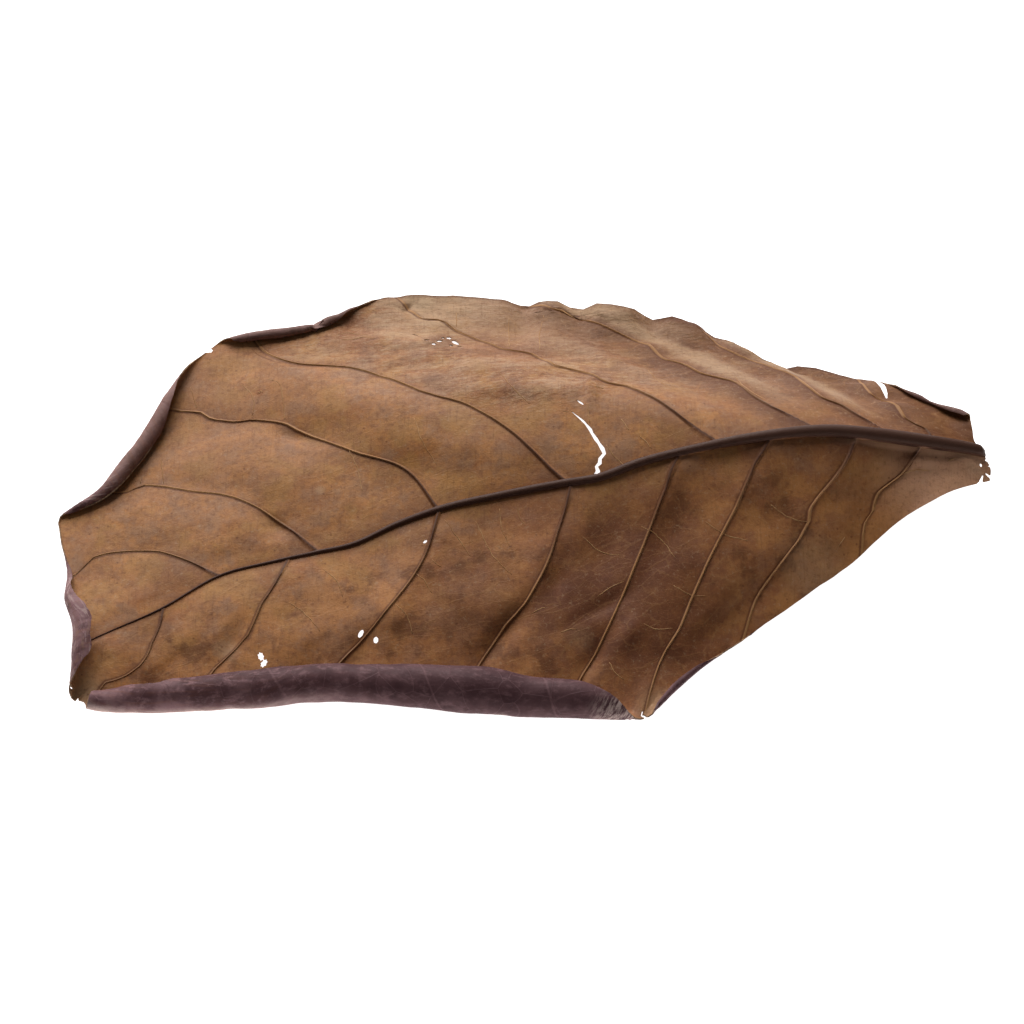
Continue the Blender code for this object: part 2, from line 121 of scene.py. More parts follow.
# Rows start on the midrib at their first number and run out to the margin through the points given.
# A side vein follows its row, but for the sideways bends in the list of (share of the way, bend).
FAR_ROWS = [
    (-101.5, None, [(-101.3, -35.9, 2.4), (-101, -34.6, 2.4)]),
    (-77.5, None, [(-86, -22.5, 2.8), (-94, -22, 2.5), (-102.2, -23.5, 2.4)]),
    (-64.5, [(0, -0.4), (0.25, -0.1), (0.4, 0.3), (0.6, -0.1), (0.79, -0.3), (0.87, -3.2), (1, -4)],
     [(-72.7, -10.8, 3.6), (-81.2, -8.6, 3.2), (-90, -9, 2.8), (-98.9, -12.8, 2.4)]),
    (-54, None, [(-63, -4.5, 4.4), (-75, -1, 3.6), (-87, 0.5, 3), (-100.8, 1.2, 2.6)]),
    (-44, [(0, 0), (0.3, -0.1), (0.45, -0.7), (0.54, -1.3), (0.67, -0.8), (0.74, -0.9), (0.78, -3.4),
           (1, -5)],
     [(-53.7, -1.1, 5), (-64.4, 5.6, 4.5), (-76.1, 8.5, 3.5), (-88, 10.5, 3), (-96.7, 12.2, 2.8)]),
    (-18.5, [(0, 0), (0.2, 0.3), (0.3, -0.4), (0.46, -0.8), (0.52, -0.3), (0.57, 0.7), (0.67, 0.7),
             (0.7, -0.5), (0.78, -0.6), (0.83, 0.5), (0.88, -0.5), (1, -1)],
     [(-25.5, 8.2, 9), (-36.9, 14.1, 8.5), (-49.2, 21.3, 6.5), (-69.9, 27.2, 3.5), (-84.2, 32.6, 3)]),
    (-6, None, [(-15, 12, 11.3), (-27, 20.5, 10.5), (-44, 30, 7.6), (-61, 41, 4.8), (-68.4, 47.6, 4)]),
    (8.5, [(0, 0.5), (0.04, -0.3), (0.14, -0.5), (0.28, -0.4), (0.34, 0), (0.38, -1.4), (0.44, -2.5),
           (0.51, -1.4), (0.62, -0.1), (0.75, 0.3), (1, 0)],
     [(2, 10.6, 13.4), (-4, 16.9, 13.6), (-14.4, 24.5, 12.5), (-34.9, 35.7, 8.5), (-57, 43.4, 5),
      (-63, 52, 4)]),
    (25, None, [(15, 18, 14.6), (0, 29, 12.3), (-20, 42, 7.6), (-38, 51, 4.6), (-43.5, 57.5, 3.8)]),
    (40, [(0, 1.6), (0.05, 0.1), (0.1, -0.6), (0.15, -0.5), (0.22, 0.4), (0.31, 1.5), (0.35, -0.3),
          (0.42, 1.0), (0.46, 0.6), (0.49, -0.9), (0.57, 1.6), (0.61, 2.0), (0.65, -0.3), (0.71, 0),
          (0.82, -0.3), (0.86, 0), (0.88, -2.6), (1, -2)],
     [(33.6, 17.2, 17), (16.7, 29.5, 13), (-3.3, 42.4, 7.5), (-15.3, 50.8, 4.5), (-27, 62, 2.8)]),
    (60.5, [(0, 2), (0.07, 0.8), (0.13, -0.4), (0.22, -0.2), (0.31, 0.6), (0.39, -1.8), (0.46, -1.2),
            (0.52, -2.2), (0.64, 0.5), (0.72, 0.8), (0.81, 0.3), (0.88, 0), (0.91, -2.1), (1, -2)],
     [(52.8, 21.4, 15), (43.2, 32.3, 10.5), (29.3, 44.3, 5.5), (14.5, 54.5, 2.4), (4.5, 61.0, 1)]),
    (75, [(0, 3), (0.08, 2.3), (0.12, 1.3), (0.2, 0.4), (0.25, -1.5), (0.36, -0.7), (0.5, 1), (0.6, 0.8),
          (1, 0)],
     [(67.5, 23.5, 13), (57, 36, 7.4), (45.5, 45, 3.4), (38, 53.9, 1)]),
    (79, None, [(72.2, 22.9, 12.5), (63.4, 33.3, 7.8), (55.2, 41.3, 4.2), (46.3, 48.6, 1.8)]),
    (81, None, [(74.3, 22.7, 12.2), (66, 32.3, 7.9), (58.5, 39.8, 4.2), (50.2, 45.1, 1.8)]),
    (82.5, None, [(76.3, 22.5, 12), (68.5, 31.5, 8.1), (62, 38, 4.6), (54.3, 40.8, 1.4)]),
    (84.5, None, [(78.6, 22.3, 11.8), (72, 30, 8.5), (67, 35.8, 5.6), (60.4, 41.5, 3.2)]),
    (87.5, [(0, 0.3), (0.12, 1.2), (0.18, 1.2), (0.21, 0), (0.28, -0.8), (0.5, 0.7), (0.6, 0.7), (0.7, -0.2),
            (1, 0)],
     [(82, 22, 11.5), (76.5, 28.5, 9), (73.6, 36.2, 5.8)]),
    (93.5, None, [(90.5, 19.5, 10.4), (88, 25, 9.2), (87.4, 30.6, 7.6)]),
    (99, None, [(97.3, 15.6, 9.3), (96.9, 19, 9.9), (96.6, 24.0, 9.4)]),
]
NEAR_ROWS = [
    (-101.5, None, [(-101.3, -37.4, 2.4), (-100.6, -38.8, 2.4)]),
    (-88, None, [(-90, -35.5, 2.1), (-92.3, -41, 1.3), (-93.4, -44.6, 1.0)]),
    (-84.5, None, [(-87, -35.8, 2.1), (-90, -42, 1.3), (-91.2, -45.4, 0.9)]),
    (-77.5, [(0, 1.4), (0.12, 1.2), (0.23, 0.1), (0.4, 0.4), (0.48, -0.6), (0.64, -4.3), (1, -5)],
     [(-79, -34, 2.2), (-83, -39.5, 1.2), (-86.5, -44.5, 0.2), (-89.5, -54, 0.2)]),
    (-51, [(0, 0.7), (0.11, 0.3), (0.23, -0.3), (0.39, 1.7), (0.47, 1.3), (0.56, -0.2), (0.7, -0.5), (1, 0)],
     [(-53, -17.6, 4.3), (-57.4, -26.3, 3.5), (-64, -36, 1.6), (-68, -43, 0.2), (-75, -57, 0.2)]),
    (-18.5, [(0, 0.2), (0.35, 0.1), (0.44, -0.3), (0.54, -1.1), (0.7, -1), (1, 0)],
     [(-21.5, -12.7, 7), (-28.9, -24.8, 5), (-38, -36, 1.6), (-43.5, -42, 0.2), (-54, -59, 0.2)]),
    (8.5, [(0, 1.4), (0.06, 1.1), (0.15, 0.3), (0.26, 0.4), (0.38, -0.2), (0.45, -1.8), (0.58, -1.6),
           (0.75, -1), (1, -1.3)],
     [(6.4, -8.5, 9.7), (1.5, -20.9, 7), (-8.5, -37, 2.0), (-13, -44, 0.2), (-22, -63.5, 0.2)]),
    (33.5, [(0, -0.6), (0.06, -0.3), (0.11, 0.5), (0.28, 0.5), (0.5, 0), (0.6, -0.1), (0.66, -0.9), (1, -1)],
     [(29.5, 1.1, 13.5), (26, -7.2, 10.5), (18.5, -26, 5.4), (12, -39.5, 1.6), (9.5, -45, 0.2),
      (3.5, -64, 0.2)]),
    (44, None, [(38.5, 2.3, 14), (34.5, -7, 10.8), (25.5, -27, 5.2), (20.5, -38.5, 2.0), (19.8, -46.5, 0.3),
                (17.8, -56.5, 0.2)]),
    (49, None, [(45, 2.7, 14.2), (40.6, -6.7, 11), (31, -27, 5.1), (26.8, -37, 2.6), (24.6, -48.8, 0.4)]),
    (51.5, [(0, 0.9), (0.04, 0.7), (0.1, -0.1), (0.27, 0.1), (0.37, -0.3), (0.44, -0.6), (0.6, -0.4),
            (0.7, 0.1), (0.81, -1.2), (0.91, -2.4), (1, -3)],
     [(47.5, 2.9, 14.3), (42.8, -6.6, 11), (33, -27, 5), (28.5, -36.5, 2.6), (27.4, -48.0, 0.4)]),
    (70.5, [(0, 0.6), (0.12, 0.7), (0.21, 0.4), (0.31, -0.2), (0.38, -0.5), (0.46, 0.9), (0.55, 0.9),
            (0.63, -0.3), (0.8, -1), (1, -1)],
     [(67, 6.2, 13.6), (61.5, -1.2, 10.4), (55, -12.3, 6.6), (50.3, -19.3, 3.9), (46.9, -28.7, 1.2)]),
    (77.5, None, [(73.7, 6.7, 12.3), (68.3, 0.3, 9.6), (63.4, -8.0, 6.6), (60.9, -14.2, 4.4),
                  (59.6, -19.4, 2.4)]),
    (84.5, [(0, 0.9), (0.07, 0.8), (0.3, 0.1), (0.44, -0.9), (0.65, 0.3), (0.72, -0.2), (1, 0.1)],
     [(80.9, 7.4, 10.4), (75.5, 1.8, 8.3), (72.6, -3.7, 6.3), (71.2, -10.5, 3.8)]),
    (89, None, [(87.0, 9.1, 10.4), (83.0, 3.4, 8.8), (79.9, -2.9, 6.4)]),
    (92, None, [(90.5, 10.6, 10.0), (88.3, 6.2, 9.1), (86.2, 0.6, 8.0)]),
    (96, None, [(95.8, 11.6, 9.2), (94.9, 9.0, 8.6), (93.3, 4.4, 7.8)]),
    (99, None, [(99.5, 12.6, 7.5), (100.3, 10.7, 7.1), (100.0, 7.2, 6.5)]),
]

# Height of the swelling between one side vein and the next, from the tip to the stalk.
# In the near half they are hollow by the midrib and swell out again further down.
FAR_SWELLS = [0.3, 0.5, 0.9, 1.5, 1.7, -1.1, -1.0, -0.8, -0.3]
NEAR_SWELLS = [0.2, 0.1, -0.4, -0.8, -1.0, -1.0, -0.8, -0.5, -0.2]
SWELL_SHARPNESS = 1.35
HOLLOW_LEAN = 1.5
FAR_SWELLS_STRETCH = 1.15
FAR_SWELLS_BULGE = 0.8
NEAR_SWELLS_END = 0.84
NEAR_SWELLS_TURN = 0.55

# Waves of the free far margin: where each dip comes along X, and how deep it is. Between them it lifts.
FAR_DIPS = [(0, 2.8), (12.3, 3.0), (28.8, 3.2), (43, 2.2)]
DIP_HALF_LENGTH = 5.0
WAVE_SHARE_OF_ROW = 0.35
FAR_LIFT = 2.2
FAR_LIFT_PLACE = 26
FAR_LIFT_HALF_LENGTH = 45

# Side veins taper from the midrib out. From the tip to the middle of the leaf they grow to full size, and
# by the stalk they are thinner again.
VEIN_HALF_WIDTH = 0.32
VEIN_HEIGHT = 0.44
VEIN_CROWN = 0.7
VEIN_TAPER = 0.45
VEIN_TIP_SIZE = 0.45
VEIN_GROWTH_LENGTH = 90
VEIN_STALK_LOSS = 0.4
VEIN_STALK_START = 74
VEIN_STALK_FADE = 10
VEIN_FLARE = 0.3
VEIN_FLARE_SHARE = 0.12
VEIN_END = 1.02
VEIN_END_FADE = 0.2
VEIN_GROOVE = 0.07
GROOVE_PLACE = 1.7
GROOVE_WIDTH = 0.6

# Columns of the grid run out from the midrib. They crowd together at the side veins, and bend with them.
COLUMN_COUNT = 300
COLUMN_STEP = 1.0
VEIN_COLUMN_STEP = 0.17
CROWDED_REACH = 1.3
CROWDED_FADE = 0.6
BEND_REACH = 0.45
BEND_CORE = 1.5
FINE_SCALE = 8001

# Puckers all over the blade (size, height), which are calmer beside the midrib.
PUCKERS = [(9.0, 0.3), (4.0, 0.12), (1.9, 0.05)]
CALM_REACH = 1.5
CALM_FADE = 4

# Hollows (and swellings, below zero) between the veins: x, y, length, width, turn in degrees, depth.
DENTS = [(-4.5, -29.5, 9, 2.3, 52, 1.4), (14, -35, 5, 1.8, 62, 0.7), (-61.5, -31, 6, 2.4, 62, 0.9),
         (-34, -32, 6, 2.6, 60, 0.8), (-29, -26, 7, 3.6, 58, -0.8), (6, -19, 6, 2.6, 66, 1.0),
         (12, -27, 4, 2.4, 20, -0.5), (-14, -22, 3, 5, 40, -0.4), (22, -30, 4, 2, 60, -0.5),
         (-50.5, 19.5, 4, 1.6, -20, 0.7), (-53.5, -3, 3.4, 1.5, -50, 0.7), (-58, 44.5, 5, 1.8, 0, 0.6),
         (2, 26.5, 13, 2.5, -5, -0.8), (24, 35, 14, 2.2, -42, -0.9), (14, 27, 1.6, 5, -10, -0.9),
         (12.4, 24.2, 2.6, 0.9, 75, 0.9), (-26, 58.5, 2.5, 0.8, 60, 0.6),
         (15, -25, 7, 1.7, 30, 0.8), (95, 11.0, 3, 0.7, -33, -0.8), (85, 8.5, 7, 1.5, 8, -0.6)]

# Ripples of the far strip, drawn out along the margin: length, width, height. They start at a share of
# the way out from the midrib and at a place along it, each with a fade.
RIPPLES = [(14.0, 5.0, 0.75), (6.0, 2.6, 0.36), (3.0, 1.5, 0.13)]
RIPPLES_OUT = (0.35, 0.3)
RIPPLES_ALONG = (-5, 30)


class Half:
    """One half of the blade. A point on it has a start x on the midrib and a share t of the way out."""

    def __init__(self, rows, swells, rolls, waves):
        self.starts = np.array([start for start, bends, points in rows], float)
        self.veins = np.array([start for start, bends, points in rows if bends])
        self.bends = [np.array(bends, float) for start, bends, points in rows if bends]
        self.cells = np.concatenate([self.starts[:1], self.veins, self.starts[-1:]])
        self.swells = swells
        self.rolls = rolls
        self.waves = waves
        self.rows = []
        for start, bends, points in rows:
            run = np.vstack([midrib(np.array([start])), points])
            knots = np.concatenate([[0], np.cumsum(np.linalg.norm(np.diff(run, axis=0), axis=1))])
            self.rows.append((knots / knots[-1], run - run[0]))

    def flat(self, x, t):
        """Points of the half before its margin rolls."""
        out = np.stack([weights(knots, t) @ run for knots, run in self.rows])
        points = midrib(x) + np.einsum("ni,inc->nc", weights(self.starts, x), out)
        cell = np.clip(np.searchsorted(self.cells, x, side="right") - 1, 0, len(self.swells) - 1)
        across = (x - self.cells[cell]) / (self.cells[cell + 1] - self.cells[cell])
        swell = np.array(self.swells)[cell]
        across = np.where(swell < 0, np.clip(across, 0, 1) ** (HOLLOW_LEAN if self.waves else 1), across)
        swell = swell * np.abs(np.sin(math.pi * across)) ** SWELL_SHARPNESS
        if not self.waves:
            turned = np.sin(math.tau * np.clip(t / NEAR_SWELLS_END, 0, 1))
            points[:, 2] += swell * np.maximum(turned, NEAR_SWELLS_TURN * turned)
        else:
            bulge = np.sin(math.pi * np.clip(t * FAR_SWELLS_STRETCH, 0, 1)) ** FAR_SWELLS_BULGE
            points[:, 2] += swell * bulge
            reach = ease((t - 1 + WAVE_SHARE_OF_ROW) / WAVE_SHARE_OF_ROW)
            from_lift = np.abs(points[:, 0] - FAR_LIFT_PLACE) / FAR_LIFT_HALF_LENGTH
            points[:, 2] += FAR_LIFT * ease(1 - from_lift) * reach
            for place, depth in self.waves:
                points[:, 2] -= depth * ease(1 - np.abs(points[:, 0] - place) / DIP_HALF_LENGTH) * reach
        return points

    def vein_place(self, n, t):
        """Where side vein n stands along the midrib scale, at shares t of the way out."""
        return self.veins[n] + np.interp(t, self.bends[n][:, 0], self.bends[n][:, 1])

    def crowded(self, count):
        """Columns crowded together at the side veins."""
        fine = np.linspace(self.starts[0], self.starts[-1], FINE_SCALE)
        away = np.abs(fine[:, None] - self.veins).min(axis=1)
        crowd = ease((CROWDED_REACH - away) / CROWDED_FADE)
        density = 1 / COLUMN_STEP + (1 / VEIN_COLUMN_STEP - 1 / COLUMN_STEP) * crowd
        passed = np.concatenate([[0], np.cumsum((density[1:] + density[:-1]) / 2)])
        return np.interp(np.linspace(0, passed[-1], count), passed, fine)

    def bent(self, x, t):
        """Columns led sideways so that they follow the bends of the veins."""
        gaps = np.diff(self.veins)
        room = BEND_REACH * np.minimum(np.append(gaps[0], gaps), np.append(gaps, gaps[-1]))
        shift = np.zeros(x.shape)
        for n, vein in enumerate(self.veins):
            shift += (self.vein_place(n, t) - vein) * ease(1 - (np.abs(x - vein) - BEND_CORE) / room[n])
        return x + shift


# ======== Rolled margins ========
# The blade dried face down, and its margins curled up and over. Each roll shows the smooth dark face of
# the leaf: a long tube at the near side, a folded flap at the tip and narrow hems at the far side.

# Each roll goes round the leaf with the outside on its right: the two ends of its fold, how far the fold
# sets in from the line between them, and the radius of the roll, both at even steps.
LEFT_ROLL = ((-100.2, 1.3), (-92.3, -45), [-0.3, 0.2, 0.9, 1.5, 3.3, 2.0, -1.3],
             [0.4, 0.45, 0.55, 2.1, 2.7, 2.5, 0.8])
FAR_ROLLS = [
    LEFT_ROLL,
    ((-69.3, 48.7), (-100.2, 1.3), [1.0, 1.3, 2.4, 4.0, 5.1, 5.2, 1.2],
     [0.8, 1.3, 1.6, 1.75, 1.7, 1.3, 0.5]),
    ((-47.3, 51.4), (-69.3, 48.4), [0.6, 1.3, 1.5, 1.7], [0.6, 0.9, 0.8, 0.6]),
    ((-30.5, 61.5), (-47.3, 51.6), [0, 0.5, 1.0, 0.4], [0.6, 0.9, 1.0, 0.6]),
    ((96.6, 22.2), (79.6, 34.2), [0.6, 1.2, 1.0], [0.5, 0.6, 0.5]),
]
NEAR_ROLLS = [
    LEFT_ROLL,
    ((-90.4, -45.5), (24.4, -48), [0.4, 1.0, 1.8, 3.0, 4.4, 4.5, 3.7, 3.0, 2.1, 1.7, 0.7],
     [1.9, 3.1, 3.5, 4.0, 3.7, 3.9, 4.5, 4.7, 4.2, 3.6, 2.2]),
    ((25.2, -48.8), (46.4, -28.8), [0.3, 1.4, 1.3, 0.1], [0.4, 0.62, 0.6, 0.4]),
]
WIDEST_TURN = 4.7
ROLL_OVERRUN = 0.03

# A column's margin rolls where it passes a fold. Free columns take over from those beside them.
LEAST_ROLLED = 0.3
FULLY_ROLLED = 2
FREE_FOLD = 0.92
LAST_FOLD = 0.97
FOLD_FADE = 5.0


def even_steps(values, share):
    """A value listed at even steps, read at shares from 0 to 1 of the way."""
    return weights(np.linspace(0, 1, len(values)), share) @ np.array(values, float)


def past_fold(points, roll):
    """How far points lie past a fold, how far along it they are as a share, and the way out from it."""
    start, end, insets, radii = roll
    along = np.subtract(end, start)
    length = np.hypot(*along)
    out = np.array([along[1], -along[0]]) / length
    share = (points[:, :2] - start) @ along / length**2
    past = (points[:, :2] - start) @ out + even_steps(insets, np.clip(share, 0, 1))
    past[(share < -ROLL_OVERRUN) | (share > 1 + ROLL_OVERRUN)] = -1
    return past, np.clip(share, 0, 1), out


def curl(points, rolls):
    """Wind up what lies past each fold around its roll."""
    points = points.copy()
    for roll in rolls:
        past, share, out = past_fold(points, roll)
        past = np.maximum(past, 0)
        radius = np.maximum(even_steps(roll[3], share), past / WIDEST_TURN)
        angle = past / radius
        points[:, :2] += (radius * np.sin(angle) - past)[:, None] * out
        points[:, 2] += radius * (1 - np.cos(angle))
    return points


def fold_share(half, x):
    """Share of the way out at which each column's margin starts to roll, and how fully it rolls."""
    tries = np.linspace(0.5, 1, 101)
    flat = half.flat(np.repeat(x, len(tries)), np.tile(tries, len(x)))
    past = np.max([past_fold(flat, roll)[0] for roll in half.rolls], axis=0).reshape(len(x), -1)
    rolled = past.max(axis=1) > LEAST_ROLLED
    first = np.where(rolled, tries[np.argmax(past > 0, axis=1)], FREE_FOLD)
    beside = np.interp(x, x[rolled], first[rolled])
    away = np.abs(x[:, None] - x[rolled]).min(axis=1)
    first = beside + (FREE_FOLD - beside) * ease(away / FOLD_FADE)
    return np.minimum(first, LAST_FOLD), ease(past.max(axis=1) / FULLY_ROLLED)


FAR = Half(FAR_ROWS, FAR_SWELLS, FAR_ROLLS, FAR_DIPS)
NEAR = Half(NEAR_ROWS, NEAR_SWELLS, NEAR_ROLLS, [])

# Rows from the midrib to the fold, and from the fold to the margin. They start a little past the foot of
# the midrib, and columns have settled to their bends at a share of the way out.
FAR_STEPS = (48, 15)
NEAR_STEPS = (40, 32)
ROW_CROWDING = 1.15
RIB_FOOT = 1.25
SETTLED = 0.1

# The margin is ragged, by notches of these sizes (size, share, seed).
RAGGED = 0.7
NOTCHES = [(5.0, 1, 1.9), (1.7, 0.6, 4.9)]
SEED_SKEW = 0.37


def smooth_noise(points, size, seed):
    """Smooth bumps of about the given size at each point, from -1 to 1."""
    offset = Vector((seed, SEED_SKEW * seed, -seed))
    values = [noise.noise(Vector(p) + offset) for p in points.reshape(-1, 3) / size]
    return np.array(values).reshape(points.shape[:-1])


def lay_out(half, stands, steps):
    """One half as a grid: its middle points, the rise of its back, and its places on the blade."""
    inner, outer = steps
    step = 0.01
    columns = half.crowded(COLUMN_COUNT)
    rib = midrib_half_width(stands)
    rate = np.linalg.norm(half.flat(stands, np.full(len(stands), step)) - midrib(stands), axis=1) / step
    foot = RIB_FOOT * rib / rate
    fold, rolls_up = fold_share(half, columns)
    shares = [foot * a for a in MIDRIB_ROUND]
    last = shares[-1]
    shares += [last + (fold - last) * n / inner for n in range(1, inner + 1)]
    shares += [fold + (1 - fold) * (n / outer) ** ROW_CROWDING for n in range(1, outer + 1)]
    t = np.stack(shares, axis=1)
    place = np.stack([columns, 0 * columns, 0 * columns + inner], axis=1)
    frayed = sum(share * smooth_noise(place, size, seed) for size, share, seed in NOTCHES)
    reach = np.linalg.norm(half.flat(columns, 0 * columns + 1) - midrib(columns), axis=1)
    t[:, -outer:] *= 1 - (RAGGED * (0.5 + 0.5 * frayed) / reach)[:, None] * np.linspace(0, 1, outer)
    full = np.repeat(columns[:, None], t.shape[1], axis=1)
    led = ease(t / SETTLED)
    x = stands[:, None] + (half.bent(full, t) - stands[:, None]) * led
    x = np.clip(x, half.starts[0], half.starts[-1])
    flat = half.flat(x.ravel(), t.ravel()).reshape(t.shape + (3,))
    middle = flat.copy()
    at_fold = len(MIDRIB_ROUND) + inner - 1
    held = middle[:, at_fold, 2][:, None]
    middle[:, at_fold:, 2] += (held - middle[:, at_fold:, 2]) * rolls_up[:, None]
    middle = curl(middle.reshape(-1, 3), half.rolls).reshape(middle.shape)

    ahead = half.flat((x + step).ravel(), t.ravel()) - half.flat((x - step).ravel(), t.ravel())
    outward = half.flat(x.ravel(), (t + step).ravel()) - half.flat(x.ravel(), (t - step).ravel())
    outward /= np.linalg.norm(outward, axis=1)[:, None]
    spread = (np.linalg.norm(np.cross(ahead, outward), axis=1) / (2 * step)).reshape(t.shape)

    rise = np.zeros(t.shape)
    for n in range(len(half.veins)):
        away = np.abs(x - half.vein_place(n, t)) * spread
        size = VEIN_TIP_SIZE + (1 - VEIN_TIP_SIZE) * ease(1 + half.veins[n] / VEIN_GROWTH_LENGTH)
        size *= 1 - VEIN_STALK_LOSS * ease((half.veins[n] - VEIN_STALK_START) / VEIN_STALK_FADE)
        flare = VEIN_FLARE * ease(1 - t / VEIN_FLARE_SHARE)
        width = size * (VEIN_HALF_WIDTH * (1 - VEIN_TAPER * t) + flare)
        height = size * VEIN_HEIGHT * (1 - VEIN_TAPER * t) * ease((VEIN_END - t) / VEIN_END_FADE)
        cord = height * np.maximum(0, 1 - (away / width) ** 2) ** VEIN_CROWN
        beside = (away / width - GROOVE_PLACE) / GROOVE_WIDTH
        groove = VEIN_GROOVE * np.exp(-(beside**2)) * led
        rise = np.maximum(rise, cord) - groove * (cord == 0)
    profile = np.sqrt(np.maximum(0, 1 - MIDRIB_ROUND**2))
    near_rib = len(MIDRIB_ROUND)
    end = ease((BROKEN_END - stands) / BROKEN_ROUND)
    rib_rise = MIDRIB_RISE * rib[:, None] * profile * end[:, None]
    rise[:, :near_rib] = np.maximum(rise[:, :near_rib] * np.minimum(MIDRIB_ROUND, 1), rib_rise)
    run = np.linalg.norm(np.diff(flat, axis=1), axis=2)
    out = np.concatenate([np.zeros((len(stands), 1)), np.cumsum(run, axis=1)], axis=1)
    return {"middle": middle, "rise": rise, "flat": flat, "x": x, "t": t, "spread": spread, "out": out}


stands = (FAR.crowded(COLUMN_COUNT) + NEAR.crowded(COLUMN_COUNT)) / 2
far_grid = lay_out(FAR, stands, FAR_STEPS)
near_grid = lay_out(NEAR, stands, NEAR_STEPS)
rib_row = near_grid["t"].shape[1] - 1


def joined(name, sign=1):
    """A value of both halves as one grid, from the near margin to the far one."""
    return np.concatenate([sign * near_grid[name][:, :0:-1], far_grid[name]], axis=1)


middle = joined("middle")
rise = joined("rise")
plan = joined("flat")
share_out = joined("t")
places = joined("x")
spreads = joined("spread")
signed_out = joined("out", -1)


def upright(surface):
    """Which way the back faces at each point of a grid."""
    across = np.cross(np.gradient(surface, axis=0), np.gradient(surface, axis=1))
    return across / np.linalg.norm(across, axis=2)[:, :, None]


PUCKER_SEED = 11.3
RIPPLE_SEED = 5.7

calm = ease((np.abs(signed_out) - CALM_REACH) / CALM_FADE)
lift = np.zeros(rise.shape)
for seed, (size, height) in enumerate(PUCKERS):
    lift += height * smooth_noise(plan, size, PUCKER_SEED + seed)
rippled = ease((share_out - RIPPLES_OUT[0]) / RIPPLES_OUT[1]) * (signed_out > 0)
rippled = rippled * ease((places - RIPPLES_ALONG[0]) / RIPPLES_ALONG[1])
for length, width, height in RIPPLES:
    lift += height * rippled * smooth_noise(plan / (length, width, length), 1.0, RIPPLE_SEED + length)
for x, y, length, width, turn, depth in DENTS:
    turn = math.radians(turn)
    u = (plan[:, :, 0] - x) * math.cos(turn) + (plan[:, :, 1] - y) * math.sin(turn)
    v = (plan[:, :, 1] - y) * math.cos(turn) - (plan[:, :, 0] - x) * math.sin(turn)
    lift -= depth * np.exp(-((u / length) ** 2) - (v / width) ** 2)
middle += upright(middle) * (calm * lift)[:, :, None]
normal = upright(middle)
back = middle + normal * (BLADE_THICKNESS / 2 + rise)[:, :, None]
face = middle - normal * BLADE_THICKNESS / 2

# The lowest parts are pressed flat on the table, and the frame starts under the leaf's middle.
PRESSED_FLAT = 0.5
UNDER_MIDDLE = (-0.24, 6.65)
level = face[:, :, 2].min() + PRESSED_FLAT
sunk = np.maximum(level - face[:, :, 2], 0)
back[:, :, 2] += sunk
face[:, :, 2] += sunk
origin = np.array([*UNDER_MIDDLE, level - solid_box[0][2] / MM])


# ======== Holes and tears ========
# Insects ate small holes through the blade, and it split as it dried: a crack up to the midrib, a slit
# beside it, and a torn rim at the stalk end. They go right through, so the table shows in them.

HOLE_POINTS = 14
HOLE_RAGGED = 0.16
HOLE_RAGGED_TURN = 3.1

# Holes are (x, y, length, width, turn in degrees); tears are runs of (x, y, width).
HOLES = [(-21.3, -9.0, 1.0, 0.7, 40), (-34.5, -29.5, 1.8, 0.9, 60), (-31.3, -31.0, 1.4, 1.1, 100),
         (-55.2, -34.3, 1.9, 1.2, 110), (-54.5, -35.8, 1.9, 1.2, 60), (-15.5, 45.6, 2.4, 1.3, 125),
         (-17, 47.3, 1.3, 1.1, 30), (-14.6, 43.2, 1.2, 0.9, 0), (-16.4, 43.6, 1.1, 0.9, 60),
         (-19.1, 45.4, 1.5, 1.0, 30), (-18.3, 47.0, 0.9, 0.7, 0), (-20.3, 44.0, 1.0, 0.8, 0),
         (-21.9, 45.3, 1.4, 0.9, 20), (-24.6, 47.9, 1.6, 0.5, 150), (98.2, 10.7, 1.0, 0.6, 70)]
TEARS = [
    [(11.1, 22.5, 0.2), (11.8, 21.8, 0.5), (12.5, 21.1, 0.3)],
    [(9.9, 19.5, 0.12), (10.9, 18.5, 0.3), (12.4, 16.9, 0.55), (12.8, 16.4, 0.45), (13.9, 14.8, 0.75),
     (14.2, 14.0, 0.6), (15.1, 12.4, 0.85), (15.7, 11.4, 0.65), (16.4, 10.2, 0.95), (16.8, 9.0, 0.8),
     (15.9, 7.9, 0.75), (15.8, 6.9, 0.9), (15.1, 6.2, 0.7), (15.4, 5.3, 0.9), (14.9, 4.5, 1.0)],
    [(102.0, 12.6, 1.6), (100.6, 12.3, 0.9), (99.3, 12.3, 0.4)],
    [(102.0, 10.6, 1.0), (100.6, 10.8, 0.6), (99.7, 11.0, 0.2)],
    [(101.6, 7.6, 1.4), (100.2, 8.4, 0.8), (99.1, 9.0, 0.3)],
    [(97.6, 4.4, 2.0), (98.1, 6.9, 1.0), (98.5, 8.4, 0.3)],
    [(-74.5, 46.5, 3.2), (-71.9, 45.6, 2.0), (-69.9, 44.9, 0.9)],
    [(-96.6, -42.8, 1.1), (-94.9, -42.3, 0.7), (-93.9, -42.1, 0.2)],
    [(-93.4, -46.6, 1.0), (-92.9, -44.9, 0.6), (-92.6, -43.9, 0.2)],
    [(24.6, -49.6, 1.1), (24.3, -48.4, 0.8), (24.0, -46.9, 0.25)],
    [(77.3, 35.4, 1.4), (78.0, 33.6, 1.2), (78.7, 31.6, 1.3), (79.0, 29.8, 1.0), (79.2, 28.2, 0.3)],
]


